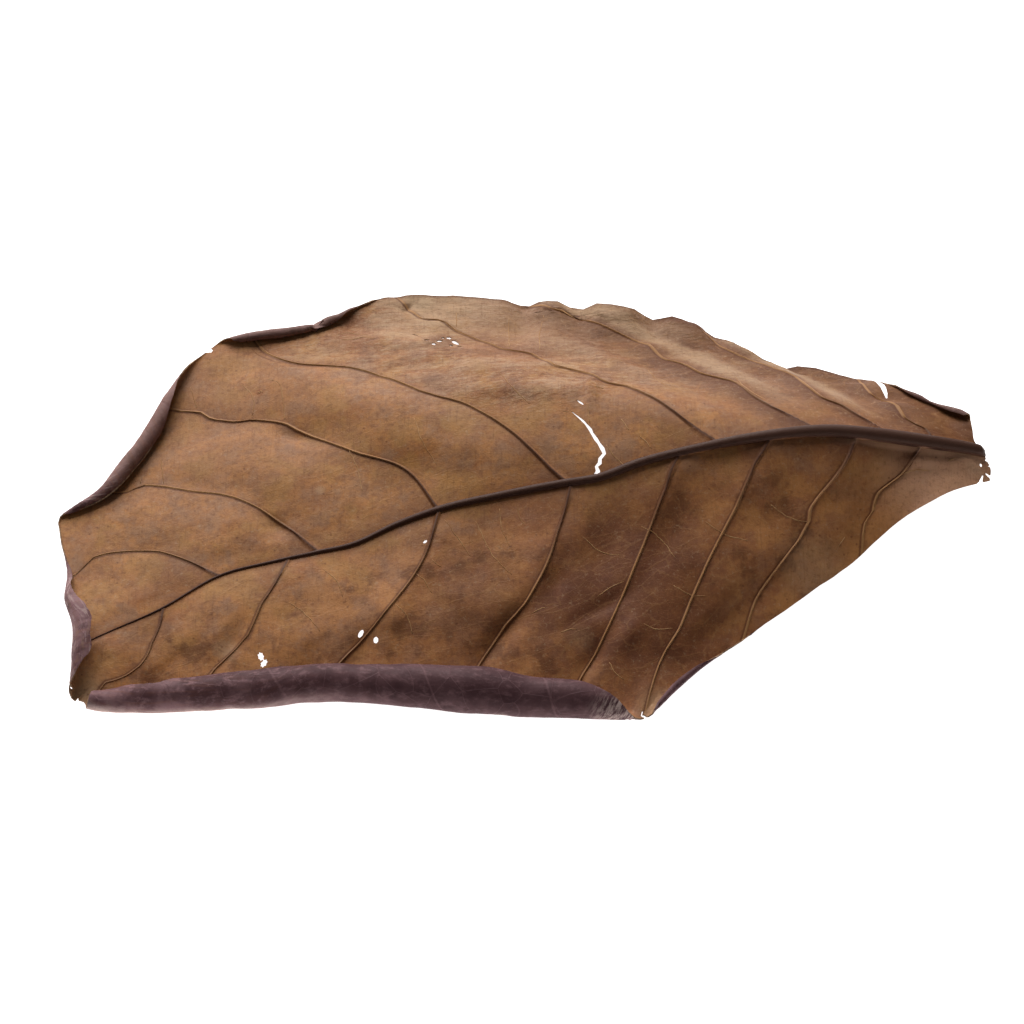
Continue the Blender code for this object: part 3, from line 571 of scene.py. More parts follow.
def hole_outline(x, y, length, width, turn):
    """Ragged oval around a hole."""
    turn = math.radians(turn)
    ring = []
    for n in range(HOLE_POINTS):
        a = math.tau * n / HOLE_POINTS
        ragged = 0.5 * (1 + HOLE_RAGGED * math.sin(HOLE_RAGGED_TURN * n + x))
        u, v = length * ragged * math.cos(a), width * ragged * math.sin(a)
        place = (x + u * math.cos(turn) - v * math.sin(turn), y + u * math.sin(turn) + v * math.cos(turn))
        ring.append(place)
    return ring


def tear_outline(run):
    """Outline of a tear, from the points and widths along it."""
    run = np.array(run)
    along = np.gradient(run[:, :2], axis=0)
    along /= np.linalg.norm(along, axis=1)[:, None]
    side = np.stack([-along[:, 1], along[:, 0]], axis=1) * run[:, 2:] / 2
    return np.vstack([run[:, :2] - side, (run[:, :2] + side)[::-1]])


def between(grid, j, k):
    """Values of a grid at places between its columns j and rows k, or a little outside it."""
    j0 = np.clip(j.astype(int), 0, grid.shape[0] - 2)
    k0 = np.clip(k.astype(int), 0, grid.shape[1] - 2)
    a, b = j - j0, k - k0
    if grid.ndim == 3:
        a, b = a[:, None], b[:, None]
    low = grid[j0, k0] * (1 - b) + grid[j0, k0 + 1] * b
    high = grid[j0 + 1, k0] * (1 - b) + grid[j0 + 1, k0 + 1] * b
    return low * (1 - a) + high * a


SEARCH_ROUNDS = 6
LONGEST_STEP = 4
BEYOND_GRID = 1.5


def on_grid(x, y):
    """Column and row of the flat blade at a place in plan."""
    flat = plan[:, :, :2]
    spot = np.array([x, y], float)
    j, k = np.unravel_index(np.argmin(np.linalg.norm(flat - spot, axis=2)), flat.shape[:2])
    for _ in range(SEARCH_ROUNDS):
        around = between(flat, np.array([j, j + 1, j - 1, j, j]), np.array([k, k, k, k + 1, k - 1]))
        slope = np.stack([around[1] - around[2], around[3] - around[4]], axis=1) / 2
        step = np.clip(np.linalg.solve(slope, spot - around[0]), -LONGEST_STEP, LONGEST_STEP)
        j = min(max(j + step[0], -BEYOND_GRID), flat.shape[0] - 1 + BEYOND_GRID)
        k = min(max(k + step[1], -BEYOND_GRID), flat.shape[1] - 1 + BEYOND_GRID)
    return j, k


PRISM_FOOT, PRISM_HEIGHT = -2, 4


def damage_mesh(name):
    """Upright prisms over the grid's columns and rows, one for each hole and tear."""
    mesh = bmesh.new()
    for outline in [hole_outline(*hole) for hole in HOLES] + [tear_outline(run) for run in TEARS]:
        ring = [mesh.verts.new((*on_grid(x, y), PRISM_FOOT)) for x, y in outline]
        base = mesh.faces.new(ring)
        raised = bmesh.ops.extrude_face_region(mesh, geom=[base])["geom"]
        tops = [v for v in raised if isinstance(v, bmesh.types.BMVert)]
        bmesh.ops.translate(mesh, verts=tops, vec=(0, 0, PRISM_HEIGHT))
    bmesh.ops.recalc_face_normals(mesh, faces=mesh.faces)
    data = bpy.data.meshes.new(name)
    mesh.to_mesh(data)
    mesh.free()
    return data


def slab_mesh(name):
    """The blade spread out by column and row, as a slab with its back at 1 and its face at -1."""
    wide, deep = rise.shape
    j, k = np.meshgrid(np.arange(wide), np.arange(deep), indexing="ij")
    number = (j * deep + k).astype(int)
    count = wide * deep
    raised = np.stack([j.ravel(), k.ravel(), np.ones(count)], axis=1)
    verts = np.vstack([raised, raised * (1, 1, -1)])
    a, b = number[:-1, :-1].ravel(), number[1:, :-1].ravel()
    c, d = number[1:, 1:].ravel(), number[:-1, 1:].ravel()
    top = np.stack([a, b, c, d], axis=1)
    low = np.stack([a, d, c, b], axis=1) + count
    rim = []
    for edge in (number[:, 0], number[-1, :], number[::-1, -1], number[0, ::-1]):
        p, q = edge[:-1], edge[1:]
        rim.append(np.stack([q, p, p + count, q + count], axis=1))
    data = bpy.data.meshes.new(name)
    data.from_pydata(verts.tolist(), [], np.vstack([top, low, *rim]).tolist())
    return data


def placed(name, data):
    """A new object in the scene."""
    thing = bpy.data.objects.new(name, data)
    bpy.context.scene.collection.objects.link(thing)
    return thing


slab = placed("slab", slab_mesh("slab"))
damage = placed("damage", damage_mesh("damage"))
cut = slab.modifiers.new("damage", "BOOLEAN")
cut.operation = "DIFFERENCE"
cut.object = damage
cut.use_self = True
bpy.context.view_layer.update()
cut_slab = slab.evaluated_get(bpy.context.evaluated_depsgraph_get())
blade = bpy.data.meshes.new_from_object(cut_slab)
bpy.data.objects.remove(slab)
bpy.data.objects.remove(damage)


def read_all(parts, name, kind, width=1):
    """One value of every vertex, corner or face of the blade."""
    values = np.zeros(len(parts) * width, kind)
    parts.foreach_get(name, values)
    return values


spots = read_all(blade.vertices, "co", float, 3).reshape(-1, 3)
on_back = spots[:, 2] > 0
j, k = spots[:, 0], spots[:, 1]
points = np.where(on_back[:, None], between(back, j, k), between(face, j, k))
blade.vertices.foreach_set("co", ((points - origin) * MM).ravel())

BACK, FACE, TORN = 0, 1, 2
corner_vert = read_all(blade.loops, "vertex_index", int)
first_corner = read_all(blade.polygons, "loop_start", int)
corner_count = read_all(blade.polygons, "loop_total", int)
of_face = np.repeat(np.arange(len(blade.polygons)), corner_count)
backs = np.add.reduceat(on_back[corner_vert].astype(int), first_corner)
side = np.where(backs == corner_count, BACK, np.where(backs == 0, FACE, TORN))
blade.polygons.foreach_set("material_index", side)

# Past the first and last side vein, a cell is as wide as if one more vein ran out there.
BEYOND_LAST_VEIN = 8

j, k = j[corner_vert], k[corner_vert]
centre_j = np.add.reduceat(j, first_corner) / corner_count
centre_k = np.add.reduceat(k, first_corner) / corner_count
centre_x = between(places, centre_j, centre_k)
centre_t = between(share_out, centre_j, centre_k)
is_far = centre_k >= rib_row
x, t = between(places, j, k), between(share_out, j, k)
vein_away = np.zeros(len(j))
cell_share = np.zeros(len(j))
for half, here in ((FAR, is_far), (NEAR, ~is_far)):
    stand_at = np.stack([half.vein_place(n, centre_t) for n in range(len(half.veins))])
    nearest = np.argmin(np.abs(stand_at - centre_x), axis=0)
    cell = np.sum(stand_at < centre_x, axis=0)
    corners = np.flatnonzero(here[of_face])
    for n in range(len(half.veins)):
        mine = corners[nearest[of_face[corners]] == n]
        vein_away[mine] = (x[mine] - half.vein_place(n, t[mine])) * between(spreads, j[mine], k[mine])
    for n in range(len(half.veins) + 1):
        mine = corners[cell[of_face[corners]] == n]
        low = half.vein_place(n - 1, t[mine]) if n > 0 else half.starts[0] - BEYOND_LAST_VEIN
        high = half.vein_place(n, t[mine]) if n < len(half.veins) else half.starts[-1] + BEYOND_LAST_VEIN
        cell_share[mine] = n + (x[mine] - low) / (high - low)
out = between(signed_out, j, k)
flat = between(plan, j, k)


def write_map(name, u, v):
    """A pair of numbers at each corner of each face, which the materials read."""
    layer = blade.uv_layers.new(name=name)
    layer.data.foreach_set("uv", np.stack([u, v], axis=1).astype(np.float32).ravel())


write_map("plan", flat[:, 0], flat[:, 1])
write_map("vein", vein_away, out)
write_map("cell", cell_share, t)
write_map("rib", out / midrib_half_width(x), x)

SHARP_ANGLE = math.radians(70)
leaf = placed("dried_leaf", blade)
blade.shade_smooth()
blade.set_sharp_from_angle(angle=SHARP_ANGLE)


# ======== Back of the leaf ========
# The ribbed back has dried to a mottled mid brown, matt to faintly waxy. Ladders of cross veins and a
# fine net between them stand out as paler threads; the midrib has turned nearly black.


class Tone:
    """A number that varies over the surface. Sums written on it become Math nodes."""

    def __init__(self, finish, socket):
        self.finish = finish
        self.socket = socket

    def __add__(self, other):
        return self.finish.math("ADD", self, other)

    def __sub__(self, other):
        return self.finish.math("SUBTRACT", self, other)

    def __rsub__(self, other):
        return self.finish.math("SUBTRACT", other, self)

    def __mul__(self, other):
        return self.finish.math("MULTIPLY", self, other)

    def __truediv__(self, other):
        return self.finish.math("DIVIDE", self, other)

    def __abs__(self):
        return self.finish.math("ABSOLUTE", self)

    __radd__ = __add__
    __rmul__ = __mul__

    def above(self, low, high):
        """0 where it is under low, 1 over high, smooth between them."""
        settings = {"interpolation_type": "SMOOTHSTEP"}
        sockets = {"Value": self, "From Min": low, "From Max": high}
        return Tone(self.finish, self.finish.node("ShaderNodeMapRange", settings, sockets))

    def below(self, low, high):
        """1 where it is under low, 0 over high, smooth between them."""
        return 1 - self.above(low, high)


class Finish:
    """A material and the nodes that vary it."""

    def __init__(self, name, roughness, specular=0.5):
        self.material = bpy.data.materials.new(name)
        self.material.use_nodes = True
        self.tree = self.material.node_tree
        self.shader = self.tree.nodes["Principled BSDF"]
        self.shader.inputs["Roughness"].default_value = roughness
        self.shader.inputs["Specular IOR Level"].default_value = specular
        self.spot = self.node("ShaderNodeTexCoord", {}, {}, "Object")

    def node(self, kind, settings, sockets, output=0):
        """A node with its settings, then its sockets' values or links; returns one output."""
        node = self.tree.nodes.new(kind)
        for name, value in settings.items():
            setattr(node, name, value)
        for name, value in sockets.items():
            value = value.socket if isinstance(value, Tone) else value
            if isinstance(value, bpy.types.NodeSocket):
                self.tree.links.new(value, node.inputs[name])
            else:
                node.inputs[name].default_value = value
        return node.outputs[output]

    def math(self, operation, first, second=0.0):
        """One sum of two numbers."""
        return Tone(self, self.node("ShaderNodeMath", {"operation": operation}, {0: first, 1: second}))

    def read_map(self, name):
        """The two numbers of one of the blade's maps."""
        pair = self.node("ShaderNodeUVMap", {"uv_map": name}, {})
        split = self.node("ShaderNodeSeparateXYZ", {}, {0: pair}).node
        return Tone(self, split.outputs[0]), Tone(self, split.outputs[1])

    def point(self, u, v):
        """A vector from two numbers."""
        return self.node("ShaderNodeCombineXYZ", {}, {0: u, 1: v})

    def clouds(self, size, detail=3.0, roughness=0.55, vector=None, seed=0.0):
        """Soft noise with patches of about the given size: in metres, or in the vector's own units."""
        vector = vector or self.spot
        moved = self.node("ShaderNodeVectorMath", {"operation": "ADD"}, {0: vector, 1: (seed, seed, seed)})
        sockets = {"Vector": moved, "Scale": 1 / size, "Detail": detail, "Roughness": roughness}
        return Tone(self, self.node("ShaderNodeTexNoise", {}, sockets, "Fac"))

    def net(self, size, feature="DISTANCE_TO_EDGE", vector=None, randomness=1.0):
        """Distance from the threads or knots of a net of the given mesh size, as a share of it."""
        sockets = {"Vector": vector or self.spot, "Scale": 1 / size, "Randomness": randomness}
        return Tone(self, self.node("ShaderNodeTexVoronoi", {"feature": feature}, sockets, "Distance"))

    def from_place(self, u, v, place):
        """Distance from a place in plan."""
        sockets = {0: self.point(u, v), 1: (*place, 0)}
        return Tone(self, self.node("ShaderNodeVectorMath", {"operation": "DISTANCE"}, sockets, 1))

    def coated(self, colour, coats):
        """A colour under coats of other colours, each laid on as strongly as the share beside it."""
        for tint, share in coats:
            sockets = {0: share, 6: colour, 7: tint}
            colour = self.node("ShaderNodeMix", {"data_type": "RGBA"}, sockets, 2)
        return colour

    def complete(self, colour, roughness=None, bumps=()):
        """Link the colour, the roughness and the bumps, each a height with its depth in metres."""
        self.tree.links.new(colour, self.shader.inputs["Base Color"])
        if roughness is not None:
            self.tree.links.new(roughness.socket, self.shader.inputs["Roughness"])
        lean = None
        for height, depth in bumps:
            sockets = {"Height": height, "Distance": depth, "Strength": 1.0}
            if lean is not None:
                sockets["Normal"] = lean
            lean = self.node("ShaderNodeBump", {}, sockets)
        if lean is not None:
            self.tree.links.new(lean, self.shader.inputs["Normal"])
        return self.material


TAN = (0.50, 0.214, 0.069, 1)
RUSSET = (0.37, 0.125, 0.034, 1)
EARTH = (0.28, 0.12, 0.054, 1)
DRAB = (0.26, 0.135, 0.078, 1)
UMBER = (0.13, 0.044, 0.016, 1)
DARK_MAROON = (0.11, 0.028, 0.010, 1)
RED_BROWN = (0.27, 0.088, 0.032, 1)
THREAD = (0.44, 0.22, 0.085, 1)
BARK = (0.075, 0.031, 0.019, 1)
PALE = (0.50, 0.325, 0.19, 1)
OCHRE = (0.46, 0.235, 0.062, 1)
DUSTY = (0.31, 0.185, 0.12, 1)
FAWN = (0.72, 0.40, 0.25, 1)

# Stains, bleached spots and some painted light and shade: place, distances at which each starts and
# highlight on the ridge by the stalk, and the one at (-92, -43) is painted light on the corner below
# shade in the hollows of the near half. The pale ones at (96.5, 9.8) and (93.8, 12) are a painted
# stops fading, colour, strength. The dark patches at (7, -24), (14, -23) and (-3, -26.5) are painted
# the tip flap.
STAINS_AND_PAINTED_SHADING = [
    ((24, -22), 10, 27, DARK_MAROON, 0.68), ((7, -24), 2, 11, DARK_MAROON, 0.55), ((14, -23), 1, 6, UMBER, 0.3),
    ((-3, -26.5), 1, 5.5, UMBER, 0.4), ((11.5, -31), 0.5, 4, PALE, 0.2), ((-12, -22), 3, 15, UMBER, 0.4),
    ((1, -4), 2, 10, RED_BROWN, 0.4), ((74, -2), 4, 16, TAN, 0.35), ((96.5, 9.8), 0.4, 3, PALE, 0.8),
    ((93.8, 12), 0.3, 1.8, PALE, 0.6), ((61, -14), 2, 10, PALE, 0.3), ((-44, 4.8), 0.3, 1.7, PALE, 0.5),
    ((-52.7, -17), 0.2, 1.6, PALE, 0.5), ((-45, -10.5), 0.2, 1.3, PALE, 0.5),
    ((-62.6, -32.5), 0.8, 3.6, PALE, 0.45), ((-92, -43), 1, 8, PALE, 0.55), ((-24, 61), 1, 5, PALE, 1.3),
    ((-18.5, 45.5), 1.5, 5, UMBER, 0.5), ((-38, 48), 2, 8, RED_BROWN, 0.35), ((-3, 46), 4, 16, EARTH, 0.5),
    ((-66, 30), 8, 34, EARTH, 0.25), ((-58.5, 32), 0.3, 1.4, RED_BROWN, 0.7), ((27, -46), 1, 6, PALE, 0.5),
]
# Centre of the painted light on the near blade by the stalk.
STALK_LIGHT_PLACE = (90, 7)

brown = Finish("ribbed_back", 0.5, 0.2)
away, out_along = brown.read_map("vein")
cell, outward = brown.read_map("cell")
rib_away, rib_x = brown.read_map("rib")
plan_x, plan_y = brown.read_map("plan")
down_near = -1 * out_along

# Noises and nets.
patches = brown.clouds(0.014, 4, 0.55, seed=1.3)
reds = brown.clouds(0.010, 4, 0.6, seed=8.7)
ochres = brown.clouds(0.008, 4, 0.6, seed=15.2)
cloudy = brown.clouds(0.0065, 4, 0.6, seed=12.4)
stains = brown.clouds(0.006, 5, 0.62, seed=4.1)
mottle = brown.clouds(0.0045, 4, 0.6, seed=6.6)
small_mottle = brown.clouds(0.0016, 3, 0.6, seed=9.2)
flecks = brown.clouds(0.001, 5, 0.72, seed=2.2)
grain = brown.clouds(0.00045, 2, 0.6, seed=3.1)
drifts = brown.clouds(1.0, 3, 0.55, brown.point(plan_x / 11 + plan_y / 20, plan_y / 3.6 - plan_x / 24), 3.7)
streaks = brown.clouds(1.0, 6, 0.72, brown.point(plan_x / 2.6 + plan_y / 5, plan_y / 0.9 - plan_x / 8))
hairs = brown.clouds(1.0, 2, 0.5, brown.point(plan_x / 0.5, plan_y / 6))
ladder_spot = brown.point((cell + 0.25 * stains) * 1.6, (out_along + 5 * stains) / 3.6)
ladder = brown.net(1.0, vector=ladder_spot, randomness=0.85).below(0.0, 0.035)
mesh = brown.net(0.0021).below(0.0, 0.06)
dots = brown.net(0.0031, "F1").below(0.05, 0.11)

# Parts of the blade.
near_side = down_near.above(2, 14)
below_rib = down_near.above(0, 2)
# Painted highlight: a pale line on the near blade just below the midrib, where its edge catches the light.
painted_highlight_below_rib = down_near.above(1.3, 1.8) * down_near.below(2.3, 3.4)
far_strip = out_along.above(12, 34) * rib_x.above(-15, 30)
by_stalk = rib_x.above(38, 62) * (1 - near_side)
# Paler by the middle of the far margin: partly dust, partly painted sheen.
dust_and_sheen_band = outward.above(0.64, 0.92) * plan_x.above(-38, -22) * plan_x.below(24, 50) * plan_y.above(25, 40)
# Painted light on the near blade by the stalk, which slopes away from the lamp.
painted_stalk_light = brown.from_place(plan_x, plan_y, STALK_LIGHT_PLACE).below(3, 20) * below_rib
dark_end = rib_x.above(76, 92) * (1 - below_rib)
hem = outward.above(0.93, 0.97) * rib_x.above(70, 73) * rib_x.below(86, 88) * (1 - near_side)
# Painted light and shade across each cell between the side veins: a painted highlight band just past
# one vein, and painted shade towards the next.
across_cell = brown.math("FRACT", cell)
painted_crest_highlight = across_cell.above(0.06, 0.25) * across_cell.below(0.42, 0.62)
painted_crest_highlight = painted_crest_highlight * outward.above(0.12, 0.42) * rib_x.below(80, 90) * by_stalk
painted_lee_shade = across_cell.above(0.66, 0.96) * (1 - near_side)
near_rib = outward.below(0.2, 0.65)

# Midrib and side veins.
rib_line = abs(rib_away).below(1.1, 1.45)
# Painted shade on the blade beside the midrib.
painted_shade_by_rib = abs(rib_away).below(1.2, 7.0)
vein_line = abs(away).below(0.16, 0.32)
# Painted shade along both sides of each side vein, darker still on its shaded side.
painted_shade_beside_vein = abs(away).below(0.25, 1.1)
shaded_side = abs(away + 0.42).below(0.08, 0.3)
golden = outward.above(0.08, 0.35) * (0.45 + 0.55 * (out_along * 1.5 + rib_x).above(-75, -30))

blotched = brown.coated(TAN, [
    (EARTH, patches.above(0.38, 0.72) * 0.45),
    (DRAB, mottle.above(0.42, 0.66) * (0.34 - 0.2 * near_side)),
    (EARTH, small_mottle.above(0.42, 0.62) * 0.5),
    (EARTH, far_strip * 0.58),
    (RUSSET, reds.above(0.5, 0.75) * 0.55),
    (OCHRE, ochres.above(0.48, 0.64) * 0.4),
    (DUSTY, ochres.below(0.36, 0.5) * 0.4),
    (UMBER, stains.above(0.52, 0.85) * 0.6),
    # In the far strip the pale and dark streaks and drifts are partly its own mottled tone, partly painted
    # sheen and shade of its ripples.
    (PALE, streaks.above(0.5, 0.62) * (0.08 + far_strip * 0.46)),
    (UMBER, streaks.below(0.36, 0.48) * (0.1 + far_strip * 0.5)),
    (RED_BROWN, near_side * (0.12 + 0.38 * rib_x.above(-45, 15))),
    (PALE, drifts.above(0.5, 0.66) * far_strip * 0.4),
    (UMBER, drifts.below(0.34, 0.5) * far_strip * 0.55),
    # Paler band by the far margin, partly dust, partly painted sheen.
    (PALE, dust_and_sheen_band * (0.25 + 0.8 * streaks)),
    (UMBER, by_stalk * 0.52),
    (TAN, cloudy.above(0.52, 0.66) * near_side * 0.68),
    (UMBER, cloudy.below(0.36, 0.49) * near_side * 0.62),
])
# Lay on the stains and the painted light and shade listed above.
for place, near, far, tint, strength in STAINS_AND_PAINTED_SHADING:
    here = brown.from_place(plan_x, plan_y, place).below(near, far)
    blotched = brown.coated(blotched, [(tint, here * strength * (0.55 + 0.9 * mottle))])
ribbed = brown.coated(blotched, [
    # Painted light on the near blade by the stalk.
    (FAWN, painted_stalk_light * 0.65),
    (UMBER, dark_end * 0.5),
    # Painted highlight and painted shade across the cells of the far half.
    (PALE, painted_crest_highlight * (0.1 + 0.8 * streaks)),
    (UMBER, painted_lee_shade * (by_stalk * 0.5 + near_rib * 0.35)),
    (UMBER, flecks.above(0.5, 0.68) * 0.36),
    (PALE, flecks.below(0.3, 0.44) * 0.34),
    (UMBER, hairs.above(0.52, 0.8) * 0.3),
    (THREAD, mesh * 0.1 + ladder * 0.2),
    (UMBER, dots * 0.5),
    # Painted shade beside the midrib and along the side veins.
    (DARK_MAROON, painted_shade_by_rib * 0.3),
    (UMBER, painted_shade_beside_vein * 0.35),
    (UMBER, shaded_side * 0.6),
    (brown.coated(BARK, [(THREAD, golden)]), vein_line * 0.75),
    (UMBER, outward.above(0.975, 0.995) * far_strip * 0.6),
    (UMBER, hem * 0.85),
    # Painted highlight below the midrib near the stalk.
    (FAWN, painted_highlight_below_rib * rib_x.above(64, 74) * 0.4),
    (BARK, rib_line),
])
relief = mesh * 0.06 + ladder * 0.12 + flecks * 0.35 + hairs * 0.15 + streaks * far_strip * 2.6
relief = relief + small_mottle * 0.4
waxy = 0.44 + 0.2 * flecks + 0.1 * streaks
leaf.data.materials.append(brown.complete(ribbed, waxy, [(relief, 0.0001), (grain, 0.00004)]))


# ======== Face of the leaf ========
# The smooth face is what shows on the rolls. It dried darker than the back, a plum brown with a dull
# bluish bloom, and the side veins run over it as faint furrows.

PLUM = (0.13, 0.058, 0.062, 1)
LIGHT_PLUM = (0.27, 0.145, 0.152, 1)
DARK_PLUM = (0.07, 0.029, 0.033, 1)
DRY_BROWN = (0.25, 0.145, 0.105, 1)
PINKISH_WHITE = (0.68, 0.50, 0.45, 1)
FRAYED_PLACE = (21, -52)
NICKED_PLACE = (-5, -49)

plum = Finish("smooth_face", 0.5, 0.16)
face_away = plum.read_map("vein")[0]
face_x, face_y = plum.read_map("plan")

# Noises and nets.
bloom = plum.clouds(0.008, 4, 0.6, seed=2.3)
blots = plum.clouds(0.003, 3, 0.6, seed=5.3)
dust = plum.clouds(0.0006, 3, 0.6, seed=7.3)
face_hairs = plum.clouds(1.0, 4, 0.65, plum.point(face_x / 7, face_y / 0.9))
scurf = plum.clouds(1.0, 4, 0.7, plum.point(face_x / 2.5, face_y / 1.6))
flap_streaks = plum.clouds(1.0, 4, 0.65, plum.point(face_x / 0.9, face_y / 5))
frays = plum.clouds(1.0, 5, 0.7, plum.point(face_x / 0.7 + face_y / 1.4, face_y / 4 - face_x / 5))
face_net = plum.net(0.0075).below(0.0, 0.016)
furrow = abs(face_away).below(0.08, 0.35)

# Parts of the rolls.
at_tip = face_x.below(-95, -20)
on_flap = face_x.below(-93, -89)
on_far_roll = face_y.above(4, 16)
on_near_roll = face_y.below(-46, -40)
# Painted light and shade on the near roll: darker over its top, lighter on its lower part as the table's
# glow would light it, and paler still along its lowest rim, partly frost and partly painted rim light.
under = face_y.above(-51.5, -48) * on_near_roll
over = face_y.below(-58, -50) * on_near_roll
rim = face_y.above(-50.5, -48) * on_near_roll * face_x.below(-75, -35)
frayed = plum.from_place(face_x, face_y, FRAYED_PLACE).below(3, 10) * face_y.above(-59, -54)
nicked = plum.from_place(face_x, face_y, NICKED_PLACE).below(0.6, 3)

bloomed = plum.coated(DARK_PLUM, [
    (PLUM, blots.above(0.3, 0.7) * 0.7 + at_tip * 0.5),
    (LIGHT_PLUM, bloom.above(0.4, 0.7) * (0.3 + at_tip * 1.1)),
    # Painted shade over the roll's top, painted glow on its lower part, painted rim light along its rim.
    (DARK_PLUM, over * 0.5),
    (LIGHT_PLUM, under * (0.25 + 0.75 * at_tip)),
    (LIGHT_PLUM, scurf.above(0.48, 0.68) * (0.4 + 0.7 * at_tip)),
    (PINKISH_WHITE, scurf.above(0.4, 0.6) * under * at_tip * 0.45),
    (PINKISH_WHITE, rim * (0.35 + 0.6 * scurf)),
    (PINKISH_WHITE, flap_streaks.above(0.5, 0.66) * on_flap * 0.4),
    (DRY_BROWN, flap_streaks.below(0.36, 0.5) * on_flap * 0.5),
    (DRY_BROWN, on_far_roll * (0.2 + 0.6 * scurf)),
    (RUSSET, face_hairs.above(0.45, 0.7) * at_tip * 0.16),
    (LIGHT_PLUM, furrow * 0.3 + face_net * 0.3),
    (PINKISH_WHITE, frays.above(0.42, 0.6) * frayed * 0.8),
    (PINKISH_WHITE, frays.above(0.35, 0.6) * nicked * 0.9),
])
face_relief = dust * 0.35 + face_hairs * 0.4 + scurf * 0.8 + face_net * 0.3 - furrow * 0.3
dull = 0.48 + 0.3 * dust
leaf.data.materials.append(plum.complete(bloomed, dull, [(face_relief, 0.00012)]))


# ======== Torn edges ========
# Where the blade is torn, eaten or broken, its pale dry fibre shows between the two skins.

FIBRE = (0.42, 0.28, 0.17, 1)
DARK_FIBRE = (0.2, 0.11, 0.06, 1)

edge_finish = Finish("torn_edge", 0.8, 0.3)
fibres = edge_finish.clouds(0.0007, 3, 0.6)
edge_colour = edge_finish.coated(FIBRE, [(DARK_FIBRE, fibres.above(0.35, 0.65))])
leaf.data.materials.append(edge_finish.complete(edge_colour, None, [(fibres, 0.0001)]))

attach(leaf, "root")
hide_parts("leaf")


# ======== Fine veins ========
# Between the side veins run cross veins as fine as hair. Here and there one has dried to a pale thread
# that stands just proud of the back, half sunk in it.

FINE_HALF_WIDTH = 0.11
FINE_RISE = 0.07
FINE_STEP = 0.6
FINE_WOBBLE = 0.16
FINE_WOBBLE_SIZE = 1.3
FINE_WOBBLE_SEED = 2.9
FINE_END_SIZE = 0.45
FINE_ROUND = [(-1.0, -1.0), (-0.8, 0.4), (0.0, 1.0), (0.8, 0.4), (1.0, -1.0)]

# Each fine vein runs through places in plan.
FINE_VEINS = [
    [(-17.2, -4), (-14.6, -8), (-11.6, -12.5)], [(-10.6, -4.5), (-8.6, -9.1), (-6.6, -13), (-2.9, -17.2)],
    [(-5.5, -1.8), (-5.3, -5.3), (-3.3, -10.8)], [(-1.6, -1.4), (-1.6, -3.2), (-0.3, -6.1)],
    [(-22.9, -16.6), (-21.5, -18), (-19.7, -21)], [(-27.2, -23.6), (-25, -26), (-23.6, -29.9)],
    [(-19.8, -13.2), (-17.9, -15.1)], [(17.2, 11), (18.6, 8.6), (21, 6)], [(13.2, 21.4), (13.9, 16.3)],
    [(20.5, 16.9), (22.2, 14)], [(24, 13), (27, 9.5)], [(7.7, 19.7), (9.3, 19.4)],
    [(-63, 35), (-61.3, 33.3), (-59.7, 29.6), (-59.8, 26.2)],
    [(-57, 35.5), (-54.5, 34), (-53.3, 29.9), (-52.6, 24)],
    [(-74.2, 35.2), (-72.5, 29.6)], [(-79.5, 15.8), (-78.3, 9)], [(-83.7, 10.8), (-83.4, 9)],
    [(-15.5, 56.6), (-15.4, 51.8)], [(-3.6, 55.5), (-3.5, 44.2)], [(4.3, 56), (3.3, 50), (3.3, 43)],
    [(80.9, 7), (84, 7.8), (86.6, 7.6)], [(92.7, 11.4), (90.5, 10.2)], [(67.8, -6.8), (65.9, -9.5)],
    [(24.5, -28.3), (27, -29.4), (30.5, -29)], [(17.3, -36.3), (18.4, -38.4), (20.3, -40)],
    [(1.1, -26), (2.6, -25), (4.2, -24.5)], [(7.2, -30), (9, -29.3), (10.7, -29.2)],
    [(13.1, 25.3), (14.6, 26), (17, 26)], [(-43, -14), (-40, -17), (-38.5, -21)],
    [(38, -6), (42, -9), (47, -10)], [(24.5, -7), (29, -10), (31.5, -14)],
    [(52, -2), (56, -4.5), (60, -5)], [(-38, 14), (-36, 9), (-35, 4)],
    [(-24, 20), (-22, 14), (-19, 9)], [(-6, 33), (-3, 27), (1, 22)], [(27, 36), (29, 30), (33, 25)],
    [(46, 33), (48, 28), (52, 24)], [(-50, -22), (-46, -25), (-43, -29)], [(12, -9), (16, -12), (20, -13)],
    [(-42, 48.6), (-40, 49.3), (-37.5, 48.5), (-35, 47.8)],
    [(-41, 47), (-38.5, 46.6), (-36, 47.2), (-33.5, 46)],
    [(-58.9, 32.5), (-58.2, 31.4)], [(-58.4, 32.6), (-57.7, 31.7)], [(-59, 31.6), (-57.9, 32.4)],
    [(31, -20), (35, -22), (38, -22)], [(15, -22), (18, -20), (20.5, -19)],
]


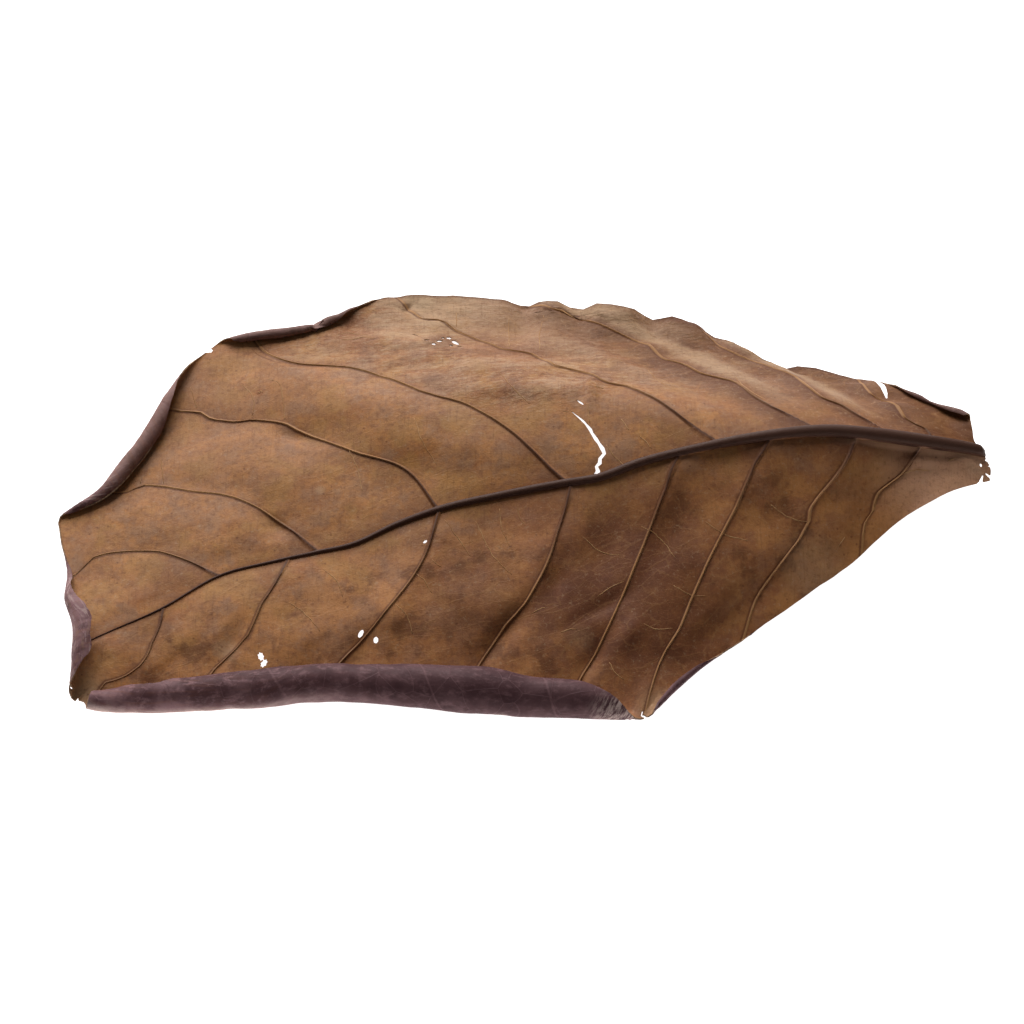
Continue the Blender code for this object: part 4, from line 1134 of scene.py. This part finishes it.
def fine_vein(run):
    """Rings of points round one fine vein, which tapers to both ends."""
    run = np.array(run, float)
    knots = np.concatenate([[0], np.cumsum(np.linalg.norm(np.diff(run, axis=0), axis=1))])
    count = max(3, int(knots[-1] / FINE_STEP))
    share = np.linspace(0, 1, count)
    spots = weights(knots, share * knots[-1]) @ run
    level = np.stack([spots[:, 0], spots[:, 1], 0 * share], axis=1)
    spots += FINE_WOBBLE * smooth_noise(level, FINE_WOBBLE_SIZE, FINE_WOBBLE_SEED)[:, None]
    at = np.array([on_grid(*spot) for spot in spots])
    centre = between(back, at[:, 0], at[:, 1])
    up = between(normal, at[:, 0], at[:, 1])
    aside = np.cross(up, np.gradient(centre, axis=0))
    aside /= np.linalg.norm(aside, axis=1)[:, None]
    size = (FINE_END_SIZE + (1 - FINE_END_SIZE) * np.sin(math.pi * share) ** 0.5)[:, None]
    lines = [centre + size * (u * FINE_HALF_WIDTH * aside + v * FINE_RISE * up) for u, v in FINE_ROUND]
    return np.stack(lines, axis=1)


fine_mesh = bmesh.new()
for run in FINE_VEINS:
    rings = [[fine_mesh.verts.new((p - origin) * MM) for p in ring] for ring in fine_vein(run)]
    for ring, following in zip(rings, rings[1:]):
        for n in range(len(FINE_ROUND)):
            fine_mesh.faces.new((ring[n - 1], ring[n], following[n], following[n - 1]))
    fine_mesh.faces.new(rings[0])
    fine_mesh.faces.new(rings[-1])
bmesh.ops.recalc_face_normals(fine_mesh, faces=fine_mesh.faces)
fine_data = bpy.data.meshes.new("fine_veins")
fine_mesh.to_mesh(fine_data)
fine_mesh.free()
fine_data.shade_smooth()
fine = placed("fine_veins", fine_data)

DULL_THREAD = (0.33, 0.155, 0.056, 1)
BRIGHT_THREAD = (0.50, 0.28, 0.125, 1)

fine_finish = Finish("fine_vein", 0.6, 0.2)
fine_shade = fine_finish.clouds(0.004, 3, 0.6)
fine_colour = fine_finish.coated(DULL_THREAD, [(BRIGHT_THREAD, fine_shade.above(0.35, 0.65))])
fine.data.materials.append(fine_finish.complete(fine_colour))

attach(fine, "root")


# ======== Table, light and camera ========
# The leaf lies on a plain white light table. One soft light stands behind it to the left, and the table
# itself fills in from below.

WHITE = (0.9, 0.9, 0.9, 1)
TABLE_GLOW = 1.15
TABLE_RADIUS = 3.0
TABLE_DROP = 0.0002
TABLE_SIDES = 96

table_mesh = bmesh.new()
bmesh.ops.create_circle(table_mesh, cap_ends=True, segments=TABLE_SIDES, radius=TABLE_RADIUS)
table_data = bpy.data.meshes.new("table")
table_mesh.to_mesh(table_data)
table_mesh.free()
table = placed("table", table_data)
table.location.z = solid_box[0][2] - TABLE_DROP
table_finish = Finish("light_table", 0.7, 0.2)
table_finish.shader.inputs["Base Color"].default_value = WHITE
table_finish.shader.inputs["Emission Color"].default_value = WHITE
table_finish.shader.inputs["Emission Strength"].default_value = TABLE_GLOW
table.data.materials.append(table_finish.material)

LAMP_PLACE = Vector((-0.24, 0.9, 0.62))
LAMP_SIZE = 0.85
LAMP_POWER = 18.5
light = bpy.data.lights.new("key", "AREA")
light.size = LAMP_SIZE
light.energy = LAMP_POWER
lamp = placed("key", light)
lamp.location = LAMP_PLACE
lamp.rotation_euler = (-LAMP_PLACE).to_track_quat("-Z", "Y").to_euler()

ROOM_GLOW = 0.1
world = bpy.data.worlds.new("studio")
world.use_nodes = True
room = world.node_tree.nodes["Background"]
room.inputs["Color"].default_value = (1, 1, 1, 1)
room.inputs["Strength"].default_value = ROOM_GLOW
bpy.context.scene.world = world

CAMERA_HEIGHT_ANGLE = math.radians(55)
CAMERA_DISTANCE = 0.611
LENS, SENSOR = 100, 36
CAMERA_AIM = Vector((-2.66, -5.65, 4.5)) * MM
looking = Vector((0, math.cos(CAMERA_HEIGHT_ANGLE), -math.sin(CAMERA_HEIGHT_ANGLE)))
camera = placed("camera", bpy.data.cameras.new("camera"))
camera.data.lens = LENS
camera.data.sensor_width = SENSOR
camera.location = CAMERA_AIM - looking * CAMERA_DISTANCE
camera.rotation_euler = looking.to_track_quat("-Z", "Y").to_euler()
bpy.context.scene.camera = camera
bpy.context.scene.view_settings.view_transform = "Standard"
